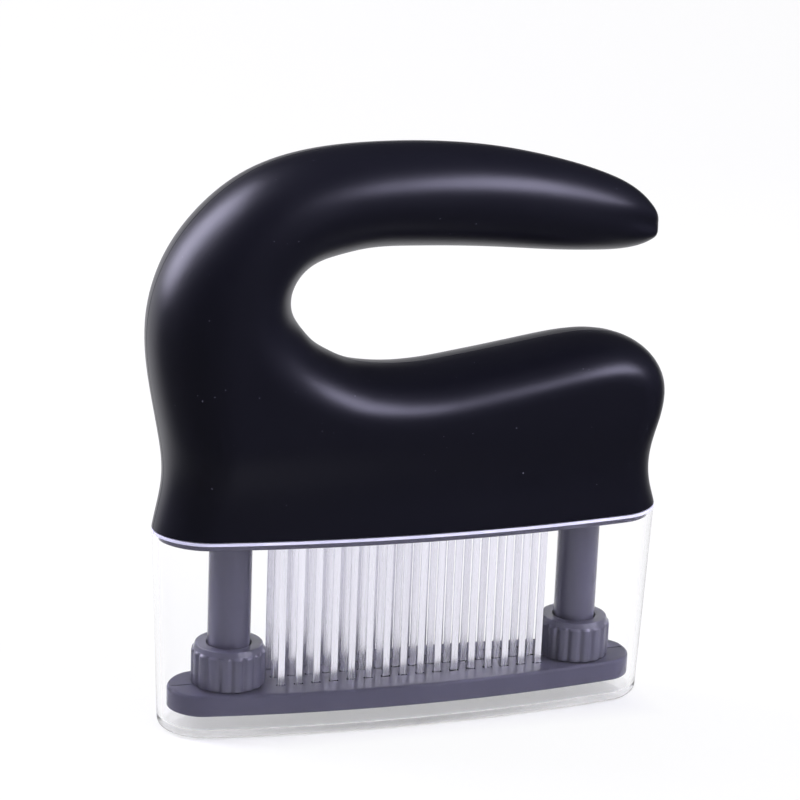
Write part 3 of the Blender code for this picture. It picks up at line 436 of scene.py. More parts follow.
def add_lug_pair(bm, inner, outer, bottom, top):
    """Add two opposite bayonet lugs as sectors of a ring"""
    for side in (0.0, math.pi):
        angles = [side + LUG_ANGLE * (i / SMALL_ROUND_STEPS - 0.5) for i in range(SMALL_ROUND_STEPS + 1)]
        arc = [(outer * math.cos(a), outer * math.sin(a)) for a in angles]
        arc += [(inner * math.cos(a), inner * math.sin(a)) for a in reversed(angles)]
        add_prism(bm, arc, bottom, top)


def smooth_rows(rows, steps):
    """Run a natural cubic spline through rows whose first two columns are its path"""
    knots = np.concatenate([[0.0], np.cumsum(np.hypot(*np.diff(rows[:, :2], axis=0).T))])
    span = np.diff(knots)
    count = len(rows)
    system = np.eye(count)
    load = np.zeros_like(rows)
    for i in range(1, count - 1):
        system[i, i - 1 : i + 2] = (span[i - 1], 2 * (span[i - 1] + span[i]), span[i])
        load[i] = 6 * ((rows[i + 1] - rows[i]) / span[i] - (rows[i] - rows[i - 1]) / span[i - 1])
    bend = np.linalg.solve(system, load)
    out = []
    for i in range(count - 1):
        for step in range(steps):
            b = step / steps
            a = 1 - b
            curve = ((a**3 - a) * bend[i] + (b**3 - b) * bend[i + 1]) * span[i] ** 2 / 6
            out.append(a * rows[i] + b * rows[i + 1] + curve)
    out.append(rows[-1])
    return np.array(out)


def handle_contours(steps):
    """Inner and outer contours as rows of x, z, rounding and half depth"""
    shares = np.array(HANDLE_STATION_SHARES)
    inner = shares[:, 0:2] * (SEAM_HALF_LENGTH, HANDLE_RISE) + (0.0, SEAM_Z)
    outer = shares[:, 2:4] * (SEAM_HALF_LENGTH, HANDLE_RISE) + (0.0, SEAM_Z)
    depth = shares[:, 4] * HANDLE_HALF_DEPTH
    half_span = np.maximum(np.hypot(*(outer - inner).T) / 2, HANDLE_TIP_ROUND)
    contours = []
    for path, round_shares in ((inner, shares[:, 5]), (outer, shares[:, 6])):
        rounding = np.where(round_shares > 0.0, round_shares * SEAM_END_RADIUS, half_span)
        contours.append(smooth_rows(np.column_stack([path, rounding, depth]), steps))
    return contours


def handle_outline(steps):
    """Both contours joined into one closed outline"""
    inner, outer = handle_contours(steps)
    return np.concatenate([inner[:-1], outer[:0:-1]])


def near_outline(outline, points):
    """Evened distance from each point to the outline, with the rounding and half depth near there

    Every stretch of the outline counts by its length over its distance to the power of FADE + 1,
    so the distance has no crease where one stretch takes over from another as the nearest.
    """
    along = np.roll(outline, -1, axis=0) - outline
    path = along[:, :2]
    length = np.maximum(np.hypot(*path.T), MERGE)
    offset = points[:, None, :] - outline[None, :, :2]
    reach = np.clip((offset * path).sum(-1) / length**2, 0.0, 1.0)
    gaps = np.maximum(np.hypot(*np.moveaxis(offset - reach[..., None] * path, -1, 0)), MERGE)
    nearest = gaps.min(axis=1)
    weight = length * (nearest[:, None] / gaps) ** (FADE + 1)
    total = weight.sum(axis=1)
    evened = nearest * (total / (STRAIGHT_TOTAL * nearest)) ** (-1 / FADE)
    trust = np.clip(nearest / HANDLE_EVENING, 0.0, 1.0)
    near = nearest + (evened - nearest) * trust * trust * (3 - 2 * trust)
    rounding, depth = (weight @ (outline + along / 2)[:, 2:] / total[:, None]).T
    return near, rounding, depth


def handle_depth(points, outline, inset):
    """Half depth of the handle's skin over (x, z) points, or of the cavity's when inset"""
    x, z = points.T
    near, rounding, upper = near_outline(outline, points)
    lift = np.clip((z - SEAM_Z) / HANDLE_BLEND_HEIGHT, 0.0, 1.0)
    ease = lift * lift * (3 - 2 * lift)
    seam = side_half_depth(x, SEAM_OUTSET)
    waist = HANDLE_WAIST * np.sin(math.pi * lift) ** 2
    depth = seam * (1 - ease) + upper * ease - waist - inset
    return depth * rounded(near - inset, np.maximum(rounding - inset, GAP))


def inset_contour(contour, inset, turn):
    """Move a contour sideways by an inset, to its left or right"""
    heading = np.gradient(contour[:, :2], axis=0)
    heading /= np.hypot(*heading.T)[:, None]
    moved = contour.copy()
    moved[:, 0] -= turn * heading[:, 1] * inset
    moved[:, 1] += turn * heading[:, 0] * inset
    return moved


def skin_grid(inner, outer, outline, inset, side):
    """Grid of points over one half's skin, a row of the fan for each station"""
    spread = (1 - np.cos(math.pi * np.arange(HANDLE_ROWS + 1) / HANDLE_ROWS)) / 2
    least = HANDLE_LIP_GAP + (0.0 if inset else HANDLE_LIP)
    grid = []
    for a, b in zip(inner[:, :2], outer[:, :2]):
        points = a + spread[:, None] * (b - a)
        depth = handle_depth(points, outline, inset)
        depth[0] = 0.0
        depth[-1] = 0.0
        grid.append([(x, side * max(least, y), z) for (x, z), y in zip(points, depth)])
    return grid


def parting_lips(inner, outer, side):
    """Points just inside both contours, where the two halves meet"""
    lips = [inset_contour(inner, HANDLE_LIP, -1)[:, :2], inset_contour(outer, HANDLE_LIP, 1)[:, :2]]
    for end in (0, -1):
        middle = (lips[0][end] + lips[1][end]) / 2
        lips[0][end] = middle
        lips[1][end] = middle
    return [[(x, side * HANDLE_LIP_GAP, z) for x, z in lip] for lip in lips]


def handle_half(side):
    """Closed bmesh of one hollow half, open only at the seam's end"""
    inner, outer = handle_contours(HANDLE_STEPS)
    outline = handle_outline(HANDLE_CONTOUR_STEPS)
    hollow_in = inset_contour(inner, HANDLE_WALL, -1)
    hollow_out = inset_contour(outer, HANDLE_WALL, 1)
    grid = skin_grid(inner, outer, outline, 0.0, side)
    lips_in, lips_out = parting_lips(inner, outer, side)
    hollow_grid = skin_grid(hollow_in, hollow_out, outline, HANDLE_WALL, side)
    span = np.hypot(*(outer - inner)[:, :2].T)
    wide = [i for i in range(len(span)) if span[i] > HANDLE_CAVITY_SPAN]
    first, last = wide[0], wide[-1]

    bm = bmesh.new()
    skin = []
    for row, lip_in, lip_out in zip(grid, lips_in, lips_out):
        skin.append([bm.verts.new(p) for p in [lip_in, *row, lip_out]])
    hollow = {i: [bm.verts.new(p) for p in hollow_grid[i]] for i in range(first, last + 1)}
    for low, high in zip(skin, skin[1:]):
        for j in range(len(low) - 1):
            bm.faces.new((low[j], low[j + 1], high[j + 1], high[j]))
    for i in range(len(skin) - 1):
        a, b = skin[i], skin[i + 1]
        if first <= i < last:
            c, d = hollow[i], hollow[i + 1]
            for j in range(HANDLE_ROWS):
                bm.faces.new((c[j], d[j], d[j + 1], c[j + 1]))
            bm.faces.new((a[0], b[0], d[0], c[0]))
            bm.faces.new((a[-1], c[-1], d[-1], b[-1]))
        else:
            bm.faces.new((a[0], b[0], b[-1], a[-1]))
    for i in (first, last):
        bm.faces.new(hollow[i])
        bm.faces.new((skin[i][0], hollow[i][0], hollow[i][-1], skin[i][-1]))
    bmesh.ops.remove_doubles(bm, verts=skin[0] + skin[-1], dist=MERGE)
    bmesh.ops.recalc_face_normals(bm, faces=bm.faces)
    cut = bmesh.ops.bisect_plane(
        bm, geom=bm.verts[:] + bm.edges[:] + bm.faces[:], plane_co=(0.0, 0.0, SEAM_Z),
        plane_no=(0.0, 0.0, 1.0), clear_inner=True, dist=MERGE / 10,
    )
    rim = [e for e in cut["geom_cut"] if isinstance(e, bmesh.types.BMEdge)]
    bmesh.ops.triangle_fill(bm, use_beauty=True, edges=rim)
    return bm


def make_handle(black):
    """Make the front and rear halves with the bosses for the carrier screws"""
    outline = handle_outline(HANDLE_CONTOUR_STEPS)
    boss_bottom = CLAMP_HIGH.z + GAP
    boss_top = boss_bottom + SCREW_BOSS_HEIGHT
    for side, name in ((-1, "front"), (1, "rear")):
        half = add_object("handle_" + name + "_shell", handle_half(side), black)
        bosses = bmesh.new()
        ribs = bmesh.new()
        holes = bmesh.new()
        for x in (-SCREW_X, SCREW_X):
            y = side * SCREW_Y
            add_cylinder(bosses, SCREW_BOSS_RADIUS, boss_bottom, boss_top, x, y, SMALL_ROUND_STEPS)
            add_cylinder(
                holes, SCREW_RADIUS + GAP, boss_bottom - OVERRUN, boss_top - OVERRUN, x, y, SMALL_ROUND_STEPS
            )
            skin = float(handle_depth(np.array([(x, boss_bottom)]), outline, 0.0)[0])
            near, far = sorted((side * (SCREW_Y + SCREW_RADIUS + OVERRUN), side * (skin - HANDLE_WALL / 2)))
            half_rib = SCREW_RIB_THICKNESS / 2
            add_box(ribs, (x - half_rib, near, boss_bottom + GAP), (x + half_rib, far, boss_top - GAP))
        boolean(half, add_object("boss_helper", bosses), "UNION")
        boolean(half, add_object("rib_helper", ribs), "UNION")
        boolean(half, add_object("boss_cutter", holes), "DIFFERENCE")
        finish_piece(half, "handle", "handle_black", "handle_" + name + "_half")


def make_blades(steel):
    """Make the three rows of blades: tines ground to a point under a shared head strip"""
    root = ROW_HIGH.z - BLADE_HEAD_HEIGHT
    shoulder = BLADE_TIP + BLADE_POINT_LENGTH
    half_x = BLADE_WIDTH / 2
    half_y = BLADE_THICKNESS / 2
    point = BLADE_POINT_WIDTH / 2
    edge = BLADE_EDGE_ROUND
    for row, row_name in enumerate(ROW_NAMES):
        y = row_place(row)
        bm = bmesh.new()
        for i in range(BLADES_PER_ROW):
            x = i * BLADE_PITCH - ROW_HALF_LENGTH
            rings = []
            for z, reach_x, reach_y in (
                (BLADE_TIP, point, point), (shoulder, half_x, half_y), (root + OVERRUN / 2, half_x, half_y)
            ):
                cut = min(edge, point / 2) if z == BLADE_TIP else edge
                ring = []
                for sx, sy in ((-1, -1), (1, -1), (1, 1), (-1, 1)):
                    beside = (x + sx * reach_x, y + sy * (reach_y - cut), z)
                    before = (x + sx * (reach_x - cut), y + sy * reach_y, z)
                    ring += [beside, before] if sx * sy > 0 else [before, beside]
                rings.append([bm.verts.new(p) for p in ring])
            add_rings(bm, rings, close=False)
        tines = add_object(row_name + "_tines", bm, steel)
        head = bmesh.new()
        end = ROW_HALF_LENGTH + BLADE_HEAD_WIDTH / 2
        add_box(head, (-end, y - half_y - MERGE, root), (end, y + half_y + MERGE, ROW_HIGH.z))
        boolean(tines, add_object("head_helper", head), "UNION")
        finish_piece(tines, "handle", "blade_steel", row_name + "_blade_row")


def make_guard(grey):
    """Make the slotted guard plate with its two bayonet bosses"""
    edge = GUARD_EDGE_ROUND
    bm = bmesh.new()
    add_tub(bm, [
        (-2 * edge, GUARD_BOTTOM),
        *filleted([
            (-2 * edge, GUARD_BOTTOM, 0.0), (0.0, GUARD_BOTTOM, edge), (0.0, GUARD_TOP, edge),
            (-2 * edge, GUARD_TOP, 0.0),
        ])[1:],
    ])
    plate = add_object("guard_body", bm, grey)

    bosses = bmesh.new()
    for x in (-POST_X, POST_X):
        add_cylinder(bosses, BOSS_RADIUS, GUARD_BOTTOM + BOSS_FLOOR, BOSS_TOP, x=x)
    boolean(plate, add_object("boss_helper", bosses), "UNION")
    lug_inner = BOSS_RADIUS - LUG_REACH / 2
    lug_outer = BOSS_RADIUS + LUG_REACH
    for x in (-POST_X, POST_X):
        lugs = bmesh.new()
        add_lug_pair(lugs, lug_inner, lug_outer, BOSS_TOP - LUG_HEIGHT, BOSS_TOP - GAP)
        boolean(plate, add_object("lug_helper", lugs, at=(x, 0.0, 0.0)), "UNION")

    cuts = bmesh.new()
    mark_outer = GUARD_HALF_LENGTH - MARK_FROM_END
    mark_inner = mark_outer - MARK_LENGTH
    bore = POST_TENON_RADIUS + GAP
    for side, start, end in ((-1, -mark_outer, -mark_inner), (1, mark_inner, mark_outer)):
        add_cylinder(cuts, bore, GUARD_BOTTOM + BOSS_FLOOR, BOSS_TOP + OVERRUN, x=side * POST_X)
        low = (start, -MARK_WIDTH / 2, GUARD_TOP - MARK_DEPTH)
        high = (end, MARK_WIDTH / 2, GUARD_TOP + OVERRUN)
        add_box(cuts, low, high)
    boolean(plate, add_object("bore_cutter", cuts), "DIFFERENCE")
    boolean(plate, slot_cutter(GUARD_BOTTOM, GUARD_TOP), "DIFFERENCE")
    finish_piece(plate, "guard", "mechanism_grey", "guard_plate")


def make_posts(grey):
    """Make both hollow posts, with the foot under the collar and the groove for the stop clip"""
    groove = POST_RADIUS - POST_GROOVE_DEPTH
    groove_bottom = CLIP_LOW.z - GAP
    groove_top = CLIP_HIGH.z + GAP
    bore_floor = SPRING_LOW.z - GAP
    edge = POST_EDGE_ROUND
    profile = filleted([
        (0.0, POST_LOW.z, 0.0), (POST_TENON_RADIUS, POST_LOW.z, edge),
        (POST_TENON_RADIUS, POST_FOOT_BOTTOM, 0.0), (POST_FOOT_RADIUS, POST_FOOT_BOTTOM, edge),
        (POST_FOOT_RADIUS, POST_FOOT_TOP, edge), (POST_RADIUS, POST_FOOT_TOP, edge),
        (POST_RADIUS, groove_bottom, 0.0), (groove, groove_bottom, 0.0),
        (groove, groove_top, 0.0), (POST_RADIUS, groove_top, 0.0),
        (POST_RADIUS, POST_HIGH.z, edge), (POST_BORE_RADIUS, POST_HIGH.z, edge),
        (POST_BORE_RADIUS, bore_floor, edge), (0.0, bore_floor, 0.0),
    ])
    for side, x in (("left", -POST_X), ("right", POST_X)):
        post = add_object(side + "_post_tube", turned(profile), grey, (x, 0.0, 0.0))
        finish_piece(post, "guard", "mechanism_grey", side + "_post")


def make_collars(grey):
    """Make both quarter-turn collars, each a knurled cap with two inner lugs"""
    shoulder = COLLAR_RADIUS - COLLAR_FLUTE_DEPTH
    knurl_top = COLLAR_TOP - COLLAR_SHOULDER
    step_z = knurl_top + COLLAR_FLUTE_DEPTH
    rim = shoulder - COLLAR_SHOULDER / 4
    bore = COLLAR_RADIUS - COLLAR_WALL
    hole = POST_RADIUS + GAP
    roof = POST_FOOT_TOP + GAP
    edge = COLLAR_EDGE_ROUND
    profile = filleted([
        (bore, COLLAR_BOTTOM, edge / 2), (COLLAR_RADIUS, COLLAR_BOTTOM, edge),
        (COLLAR_RADIUS, knurl_top, edge), (shoulder, step_z, edge / 2), (rim, COLLAR_TOP, edge),
        (hole, COLLAR_TOP, edge / 2), (hole, roof, 0.0), (bore, roof, edge),
    ])

    def sunk(angle, radius, height):
        """Depth of the flutes at a place on the collar's outer face"""
        if radius < shoulder or height > knurl_top + edge:
            return 0.0
        wave = (1 + math.cos(COLLAR_FLUTES * angle)) / 2
        return min(radius - shoulder, COLLAR_FLUTE_DEPTH * wave**COLLAR_FLUTE_SHARPNESS)

    for side, body, x in (("left", "left_collar", -POST_X), ("right", "right_collar", POST_X)):
        bm = turned(profile, COLLAR_FLUTES * COLLAR_FLUTE_STEPS, sunk)
        collar = add_object(side + "_collar_ring", bm, grey, (x, 0.0, 0.0))
        lugs = bmesh.new()
        lug_top = BOSS_TOP - LUG_HEIGHT - GAP
        add_lug_pair(lugs, BOSS_RADIUS + GAP, bore + COLLAR_WALL / 3, COLLAR_BOTTOM + GAP, lug_top)
        boolean(collar, add_object("lug_helper", lugs, at=(x, 0.0, 0.0)), "UNION")
        finish_piece(collar, body, "mechanism_grey", side + "_lock_collar")


def make_cover(clear, rim_highlight, dulled):
    """Make the clear cover: a drafted tub with a rounded foot, a rim band coloured as a painted highlight and
    a dulled underside
    """
    corner = COVER_EDGE_ROUND
    inner_round = corner - COVER_WALL
    foot = COVER_FOOT_OUTSET
    rim = COVER_RIM_ROUND
    rim_bottom = COVER_TOP - COVER_RIM_HEIGHT
    rim_outset = foot + (SEAM_OUTSET - foot) * rim_bottom / COVER_TOP
    profile = filleted([
        (foot - 2 * corner, 0.0, 0.0), (foot, 0.0, corner), (rim_outset, rim_bottom, 0.0),
        (SEAM_OUTSET, COVER_TOP, rim), (SEAM_OUTSET - COVER_WALL, COVER_TOP, rim),
        (foot - COVER_WALL, COVER_FLOOR, inner_round), (foot - 2 * corner, COVER_FLOOR, 0.0),
    ])
    bm = bmesh.new()
    add_tub(bm, profile)
    shell = add_object("cover_shell", bm, clear)
    shell.data.materials.append(rim_highlight)
    shell.data.materials.append(dulled)
    # The rim band above rim_bottom takes the painted highlight, and the faces near the floor take the dulled
    # finish
    for face in shell.data.polygons:
        if face.center.z > rim_bottom:
            face.material_index = 1
        elif face.center.z < COVER_DULL_HEIGHT:
            face.material_index = 2
    finish_piece(shell, "cover", "clear_plastic", "blade_cover")


def make_carrier(grey):
    """Make the blade carrier: a spigot that the cover grips and a plug inside the handle"""
    bm = bmesh.new()
    edge = SPIGOT_EDGE_ROUND
    bottom, top = CARRIER_LOW.z, CARRIER_HIGH.z
    profile = filleted([
        (PLUG_OUTSET - edge, bottom, 0.0), (SPIGOT_OUTSET, bottom, edge), (SPIGOT_OUTSET, COVER_TOP, 0.0),
        (PLUG_OUTSET, COVER_TOP, 0.0), (PLUG_OUTSET, top, edge), (PLUG_OUTSET - 2 * edge, top, 0.0),
    ])
    add_tub(bm, profile)
    carrier = add_object("carrier_body", bm, grey)
    cuts = bmesh.new()
    recess = bmesh.new()
    for x in (-POST_X, POST_X):
        add_cylinder(cuts, POST_RADIUS + GAP, bottom - OVERRUN, top + OVERRUN, x=x)
    for x in (-SCREW_X, SCREW_X):
        for y in (-SCREW_Y, SCREW_Y):
            add_cylinder(cuts, SCREW_RADIUS + GAP, bottom, top + OVERRUN, x, y, SMALL_ROUND_STEPS)
            add_cylinder(
                recess, SCREW_HEAD_RADIUS + GAP, bottom - OVERRUN, SCREW_HEAD_TOP, x, y, SMALL_ROUND_STEPS
            )
    boolean(carrier, add_object("hole_cutter", cuts), "DIFFERENCE")
    boolean(carrier, add_object("recess_cutter", recess), "DIFFERENCE")
    boolean(carrier, slot_cutter(bottom, top), "DIFFERENCE")
    finish_piece(carrier, "handle", "mechanism_grey", "blade_carrier")


def make_springs(steel):
    """Make both compression springs at the length they have in the imported model; in the tool they shorten
    as the guard rises
    """
    count = SPRING_COILS * SPRING_STEPS
    bottom = SPRING_LOW.z + SPRING_WIRE / 2
    rise = SPRING_HEIGHT - SPRING_WIRE
    for side, x in (("left", -POST_X), ("right", POST_X)):
        bm = bmesh.new()
        rings = []
        for i in range(count + 1):
            turn = 2 * math.pi * i / SPRING_STEPS
            ring = []
            for k in range(SPRING_WIRE_STEPS):
                a = 2 * math.pi * k / SPRING_WIRE_STEPS
                r = SPRING_RADIUS + SPRING_WIRE / 2 * math.cos(a)
                z = bottom + rise * i / count + SPRING_WIRE / 2 * math.sin(a)
                ring.append(bm.verts.new((x + r * math.cos(turn), r * math.sin(turn), z)))
            rings.append(ring)
        add_rings(bm, rings, close=False)
        spring = add_object(side + "_spring_wire", bm, steel)
        finish_piece(spring, "handle", "fastener_steel", side + "_spring")
        spring.modifiers.clear()
        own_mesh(spring)


def new_material(name, colour, roughness, **sockets):
    """Material with its Principled shader, whose even values are set on its own sockets"""
    material = bpy.data.materials.new(name)
    material.use_nodes = True
    shader = material.node_tree.nodes["Principled BSDF"]
    shader.inputs["Base Color"].default_value = (*colour, 1.0)
    shader.inputs["Roughness"].default_value = roughness
    for socket, value in sockets.items():
        shader.inputs[socket.replace("_", " ")].default_value = value
    return material, shader


def pattern(tree, scale, stretch=(1.0, 1.0, 1.0), detail=3.0, low=0.3, high=0.7):
    """Noise in the object's own coordinates, spread over 0 to 1"""
    nodes, links = tree.nodes, tree.links
    place = nodes.new("ShaderNodeTexCoord")
    shape = nodes.new("ShaderNodeMapping")
    shape.inputs["Scale"].default_value = stretch
    noise = nodes.new("ShaderNodeTexNoise")
    noise.inputs["Scale"].default_value = scale
    noise.inputs["Detail"].default_value = detail
    spread = nodes.new("ShaderNodeMapRange")
    spread.inputs["From Min"].default_value = low
    spread.inputs["From Max"].default_value = high
    links.new(place.outputs["Object"], shape.inputs["Vector"])
    links.new(shape.outputs["Vector"], noise.inputs["Vector"])
    links.new(noise.outputs["Fac"], spread.inputs["Value"])
    return spread.outputs["Result"]


def ranged(tree, value, low, high, start=0.0, end=1.0):
    """A value from start to end spread between two numbers"""
    node = tree.nodes.new("ShaderNodeMapRange")
    node.inputs["From Min"].default_value = start
    node.inputs["From Max"].default_value = end
    node.inputs["To Min"].default_value = low
    node.inputs["To Max"].default_value = high
    tree.links.new(value, node.inputs["Value"])
    return node.outputs["Result"]


def worked(tree, operation, *values):
    """The result of one sum on sockets or plain numbers"""
    node = tree.nodes.new("ShaderNodeMath")
    node.operation = operation
    for socket, value in zip(node.inputs, values):
        if isinstance(value, float):
            socket.default_value = value
        else:
            tree.links.new(value, socket)
    return node.outputs["Value"]


def mixed(tree, value, low, high):
    """A colour between two colours"""
    node = tree.nodes.new("ShaderNodeMix")
    node.data_type = "RGBA"
    node.inputs["A"].default_value = (*low, 1.0)
    node.inputs["B"].default_value = (*high, 1.0)
    tree.links.new(value, node.inputs["Factor"])
    return node.outputs["Result"]


def bumped(tree, shader, *layers):
    """Bump a shader with layers of (height, depth in metres)"""
    before = None
    for height, depth in layers:
        node = tree.nodes.new("ShaderNodeBump")
        node.inputs["Distance"].default_value = depth
        tree.links.new(height, node.inputs["Height"])
        if before is not None:
            tree.links.new(before, node.inputs["Normal"])
        before = node.outputs["Normal"]
    tree.links.new(before, shader.inputs["Normal"])


def black_plastic():
    """Satin black moulded plastic with a fine spark-eroded grain and a few dull patches"""
    material, shader = new_material(
        "satin_black_plastic", (0.005, 0.005, 0.009), 0.40, Specular_IOR_Level=0.42,
        Specular_Tint=(0.86, 0.85, 1.0, 1.0),
    )
    tree = material.node_tree
    tree.links.new(ranged(tree, pattern(tree, 45.0), 0.33, 0.38), shader.inputs["Roughness"])
    dust = pattern(tree, 900.0, detail=1.0, low=0.79, high=0.83)
    tree.links.new(mixed(tree, dust, (0.005, 0.005, 0.009), (0.10, 0.10, 0.13)), shader.inputs["Base Color"])
    bumped(tree, shader, (pattern(tree, 3200.0, low=0.0, high=1.0), 0.000012), (pattern(tree, 70.0), 0.00003))
    return material


def grey_plastic(name, roughness, shine):
    """Grey moulded plastic with faint flow marks and fine scuffs"""
    material, shader = new_material(
        name, (0.103, 0.099, 0.150), roughness, Specular_IOR_Level=shine, Specular_Tint=(0.9, 0.89, 1.0, 1.0),
    )
    tree = material.node_tree
    flow = pattern(tree, 90.0, stretch=(1.0, 1.0, 0.35))
    scuff = pattern(tree, 700.0, stretch=(0.12, 1.0, 1.0), low=0.58, high=0.75)
    tone = mixed(tree, flow, (0.097, 0.093, 0.142), (0.109, 0.105, 0.158))
    tree.links.new(tone, shader.inputs["Base Color"])
    tree.links.new(ranged(tree, scuff, roughness, roughness + 0.12), shader.inputs["Roughness"])
    bumped(tree, shader, (pattern(tree, 1500.0, low=0.0, high=1.0), 0.000004), (scuff, 0.000003))
    return material


def brushed_steel(name, stretch, roughness):
    """Steel whose grinding lines run along the axis that is stretched least"""
    material, shader = new_material(name, (0.80, 0.79, 0.86), roughness, Metallic=1.0)
    tree = material.node_tree
    grain = pattern(tree, 2600.0, stretch=stretch, low=0.25, high=0.75)
    tone = pattern(tree, 300.0, stretch=stretch)
    tree.links.new(mixed(tree, tone, (0.74, 0.73, 0.80), (0.86, 0.85, 0.92)), shader.inputs["Base Color"])
    tree.links.new(ranged(tree, grain, roughness - 0.06, roughness + 0.08), shader.inputs["Roughness"])
    bumped(tree, shader, (grain, 0.000006))
    return material


def rim_painted_highlight():
    """Painted highlight on the cover's rim: a white-lavender diffuse colour that stands for the light its
    clear top edge catches
    """
    material, shader = new_material("rim_painted_highlight_styrene", (0.74, 0.74, 0.88), 0.35, Transmission_Weight=0.15)
    tree = material.node_tree
    cloud = pattern(tree, 120.0)
    tree.links.new(mixed(tree, cloud, (0.66, 0.66, 0.80), (0.82, 0.82, 0.95)), shader.inputs["Base Color"])
    tree.links.new(ranged(tree, cloud, 0.28, 0.45), shader.inputs["Roughness"])
    bumped(tree, shader, (pattern(tree, 2400.0, low=0.0, high=1.0), 0.00001))
    return material


def sleeve_nylon():
    """Off-white nylon of the parts inside the handle"""
    material, shader = new_material("sleeve_nylon", (0.72, 0.71, 0.67), 0.45)
    tree = material.node_tree
    cloud = pattern(tree, 260.0)
    tree.links.new(mixed(tree, cloud, (0.69, 0.68, 0.63), (0.75, 0.74, 0.70)), shader.inputs["Base Color"])
    tree.links.new(ranged(tree, cloud, 0.40, 0.50), shader.inputs["Roughness"])
    bumped(tree, shader, (pattern(tree, 1800.0, low=0.0, high=1.0), 0.00001))
    return material


def clear_plastic(name, low, high):
    """Clear styrene of the cover, with hairline scuffs between two roughnesses"""
    material, shader = new_material(name, (0.997, 0.997, 1.0), low, IOR=1.22, Transmission_Weight=1.0)
    tree = material.node_tree
    hair = pattern(tree, 500.0, stretch=(0.05, 0.05, 1.0), low=0.62, high=0.75)
    tree.links.new(ranged(tree, hair, low, high), shader.inputs["Roughness"])
    bumped(tree, shader, (pattern(tree, 25.0), 0.00001))
    return material


def stage_material():
    """White board that stays white behind the object and still takes its shadow"""
    material, shader = new_material("white_board", (0.90, 0.90, 0.90), 0.9)
    tree = material.node_tree
    nodes, links = tree.nodes, tree.links
    glow = nodes.new("ShaderNodeEmission")
    mix = nodes.new("ShaderNodeMixShader")
    rays = nodes.new("ShaderNodeLightPath")
    seen = rays.outputs["Is Camera Ray"]
    for name in ("Is Glossy Ray", "Is Transmission Ray"):
        seen = worked(tree, "MAXIMUM", seen, rays.outputs[name])

    place = nodes.new("ShaderNodeTexCoord")
    axes = nodes.new("ShaderNodeSeparateXYZ")
    links.new(place.outputs["Object"], axes.inputs["Vector"])
    across = worked(tree, "ABSOLUTE", axes.outputs["X"])
    beside = worked(tree, "SUBTRACT", across, UNDER_HALF_LENGTH)
    ahead = worked(tree, "SUBTRACT", worked(tree, "ABSOLUTE", axes.outputs["Y"]), UNDER_HALF_DEPTH)
    away = worked(tree, "MAXIMUM", beside, ahead)
    share = ranged(tree, away, UNDER_GLOW_SHARE, STAGE_GLOW_SHARE, 0.0, UNDER_FADE)
    links.new(worked(tree, "MULTIPLY", seen, share), mix.inputs["Fac"])
    links.new(shader.outputs["BSDF"], mix.inputs[1])
    links.new(glow.outputs["Emission"], mix.inputs[2])

    aside = worked(tree, "MULTIPLY", across, STAGE_SIDE_LEAN)
    above = worked(tree, "MULTIPLY", axes.outputs["Z"], STAGE_TOP_LEAN)
    behind = worked(tree, "SUBTRACT", worked(tree, "SUBTRACT", axes.outputs["Y"], aside), above)
    unlit = ranged(tree, behind, 0.0, 1.0, STAGE_LIT_FRONT, STAGE_DARK_FRONT)
    outside = worked(tree, "LESS_THAN", rays.outputs["Transmission Depth"], HALF_BOUNCE)
    dark = worked(tree, "MULTIPLY", unlit, rays.outputs["Is Glossy Ray"])
    dim = nodes.new("ShaderNodeEmission")
    dim.inputs["Strength"].default_value = STAGE_DIM_GLOW
    last = nodes.new("ShaderNodeMixShader")
    links.new(worked(tree, "MULTIPLY", dark, outside), last.inputs["Fac"])
    links.new(mix.outputs["Shader"], last.inputs[1])
    links.new(dim.outputs["Emission"], last.inputs[2])
    links.new(last.outputs["Shader"], nodes["Material Output"].inputs["Surface"])
    return material


# Stage: a floor that sweeps up into a back wall. In reflections on the outside of the object it goes
# dark in front, far aside and high up, where the white board of a studio ends. Under the tool less of
# its white is its own, so it takes more of the tool's shadow.
STAGE_GLOW_SHARE = 0.90
UNDER_GLOW_SHARE = 0.50
UNDER_HALF_LENGTH = 0.060
UNDER_HALF_DEPTH = 0.012
UNDER_FADE = 0.012
STAGE_LIT_FRONT = 0.02
STAGE_DARK_FRONT = -0.12
STAGE_SIDE_LEAN = 0.80
STAGE_TOP_LEAN = 2.70
STAGE_DIM_GLOW = 0.04
STAGE_DROP = 0.00004
STAGE_HALF_WIDTH = 3.0
STAGE_FRONT = -2.5
STAGE_BACK = 1.6
STAGE_BEND_RADIUS = 0.8
STAGE_HEIGHT = 3.0
STAGE_BEND_STEPS = 24


def make_stage():
    """Make the floor and back wall as one sweep"""
    line = [(STAGE_FRONT, -STAGE_DROP)]
    for i in range(STAGE_BEND_STEPS + 1):
        angle = math.pi / 2 * i / STAGE_BEND_STEPS
        y = STAGE_BACK - STAGE_BEND_RADIUS * (1 - math.sin(angle))
        line.append((y, STAGE_BEND_RADIUS * (1 - math.cos(angle)) - STAGE_DROP))
    line.append((STAGE_BACK, STAGE_HEIGHT))
    bm = bmesh.new()
    sides = [[bm.verts.new((x, y, z)) for y, z in line] for x in (-STAGE_HALF_WIDTH, STAGE_HALF_WIDTH)]
    for i in range(len(line) - 1):
        bm.faces.new((sides[0][i], sides[1][i], sides[1][i + 1], sides[0][i + 1]))
    sweep = add_object("stage_sweep", bm, stage_material())


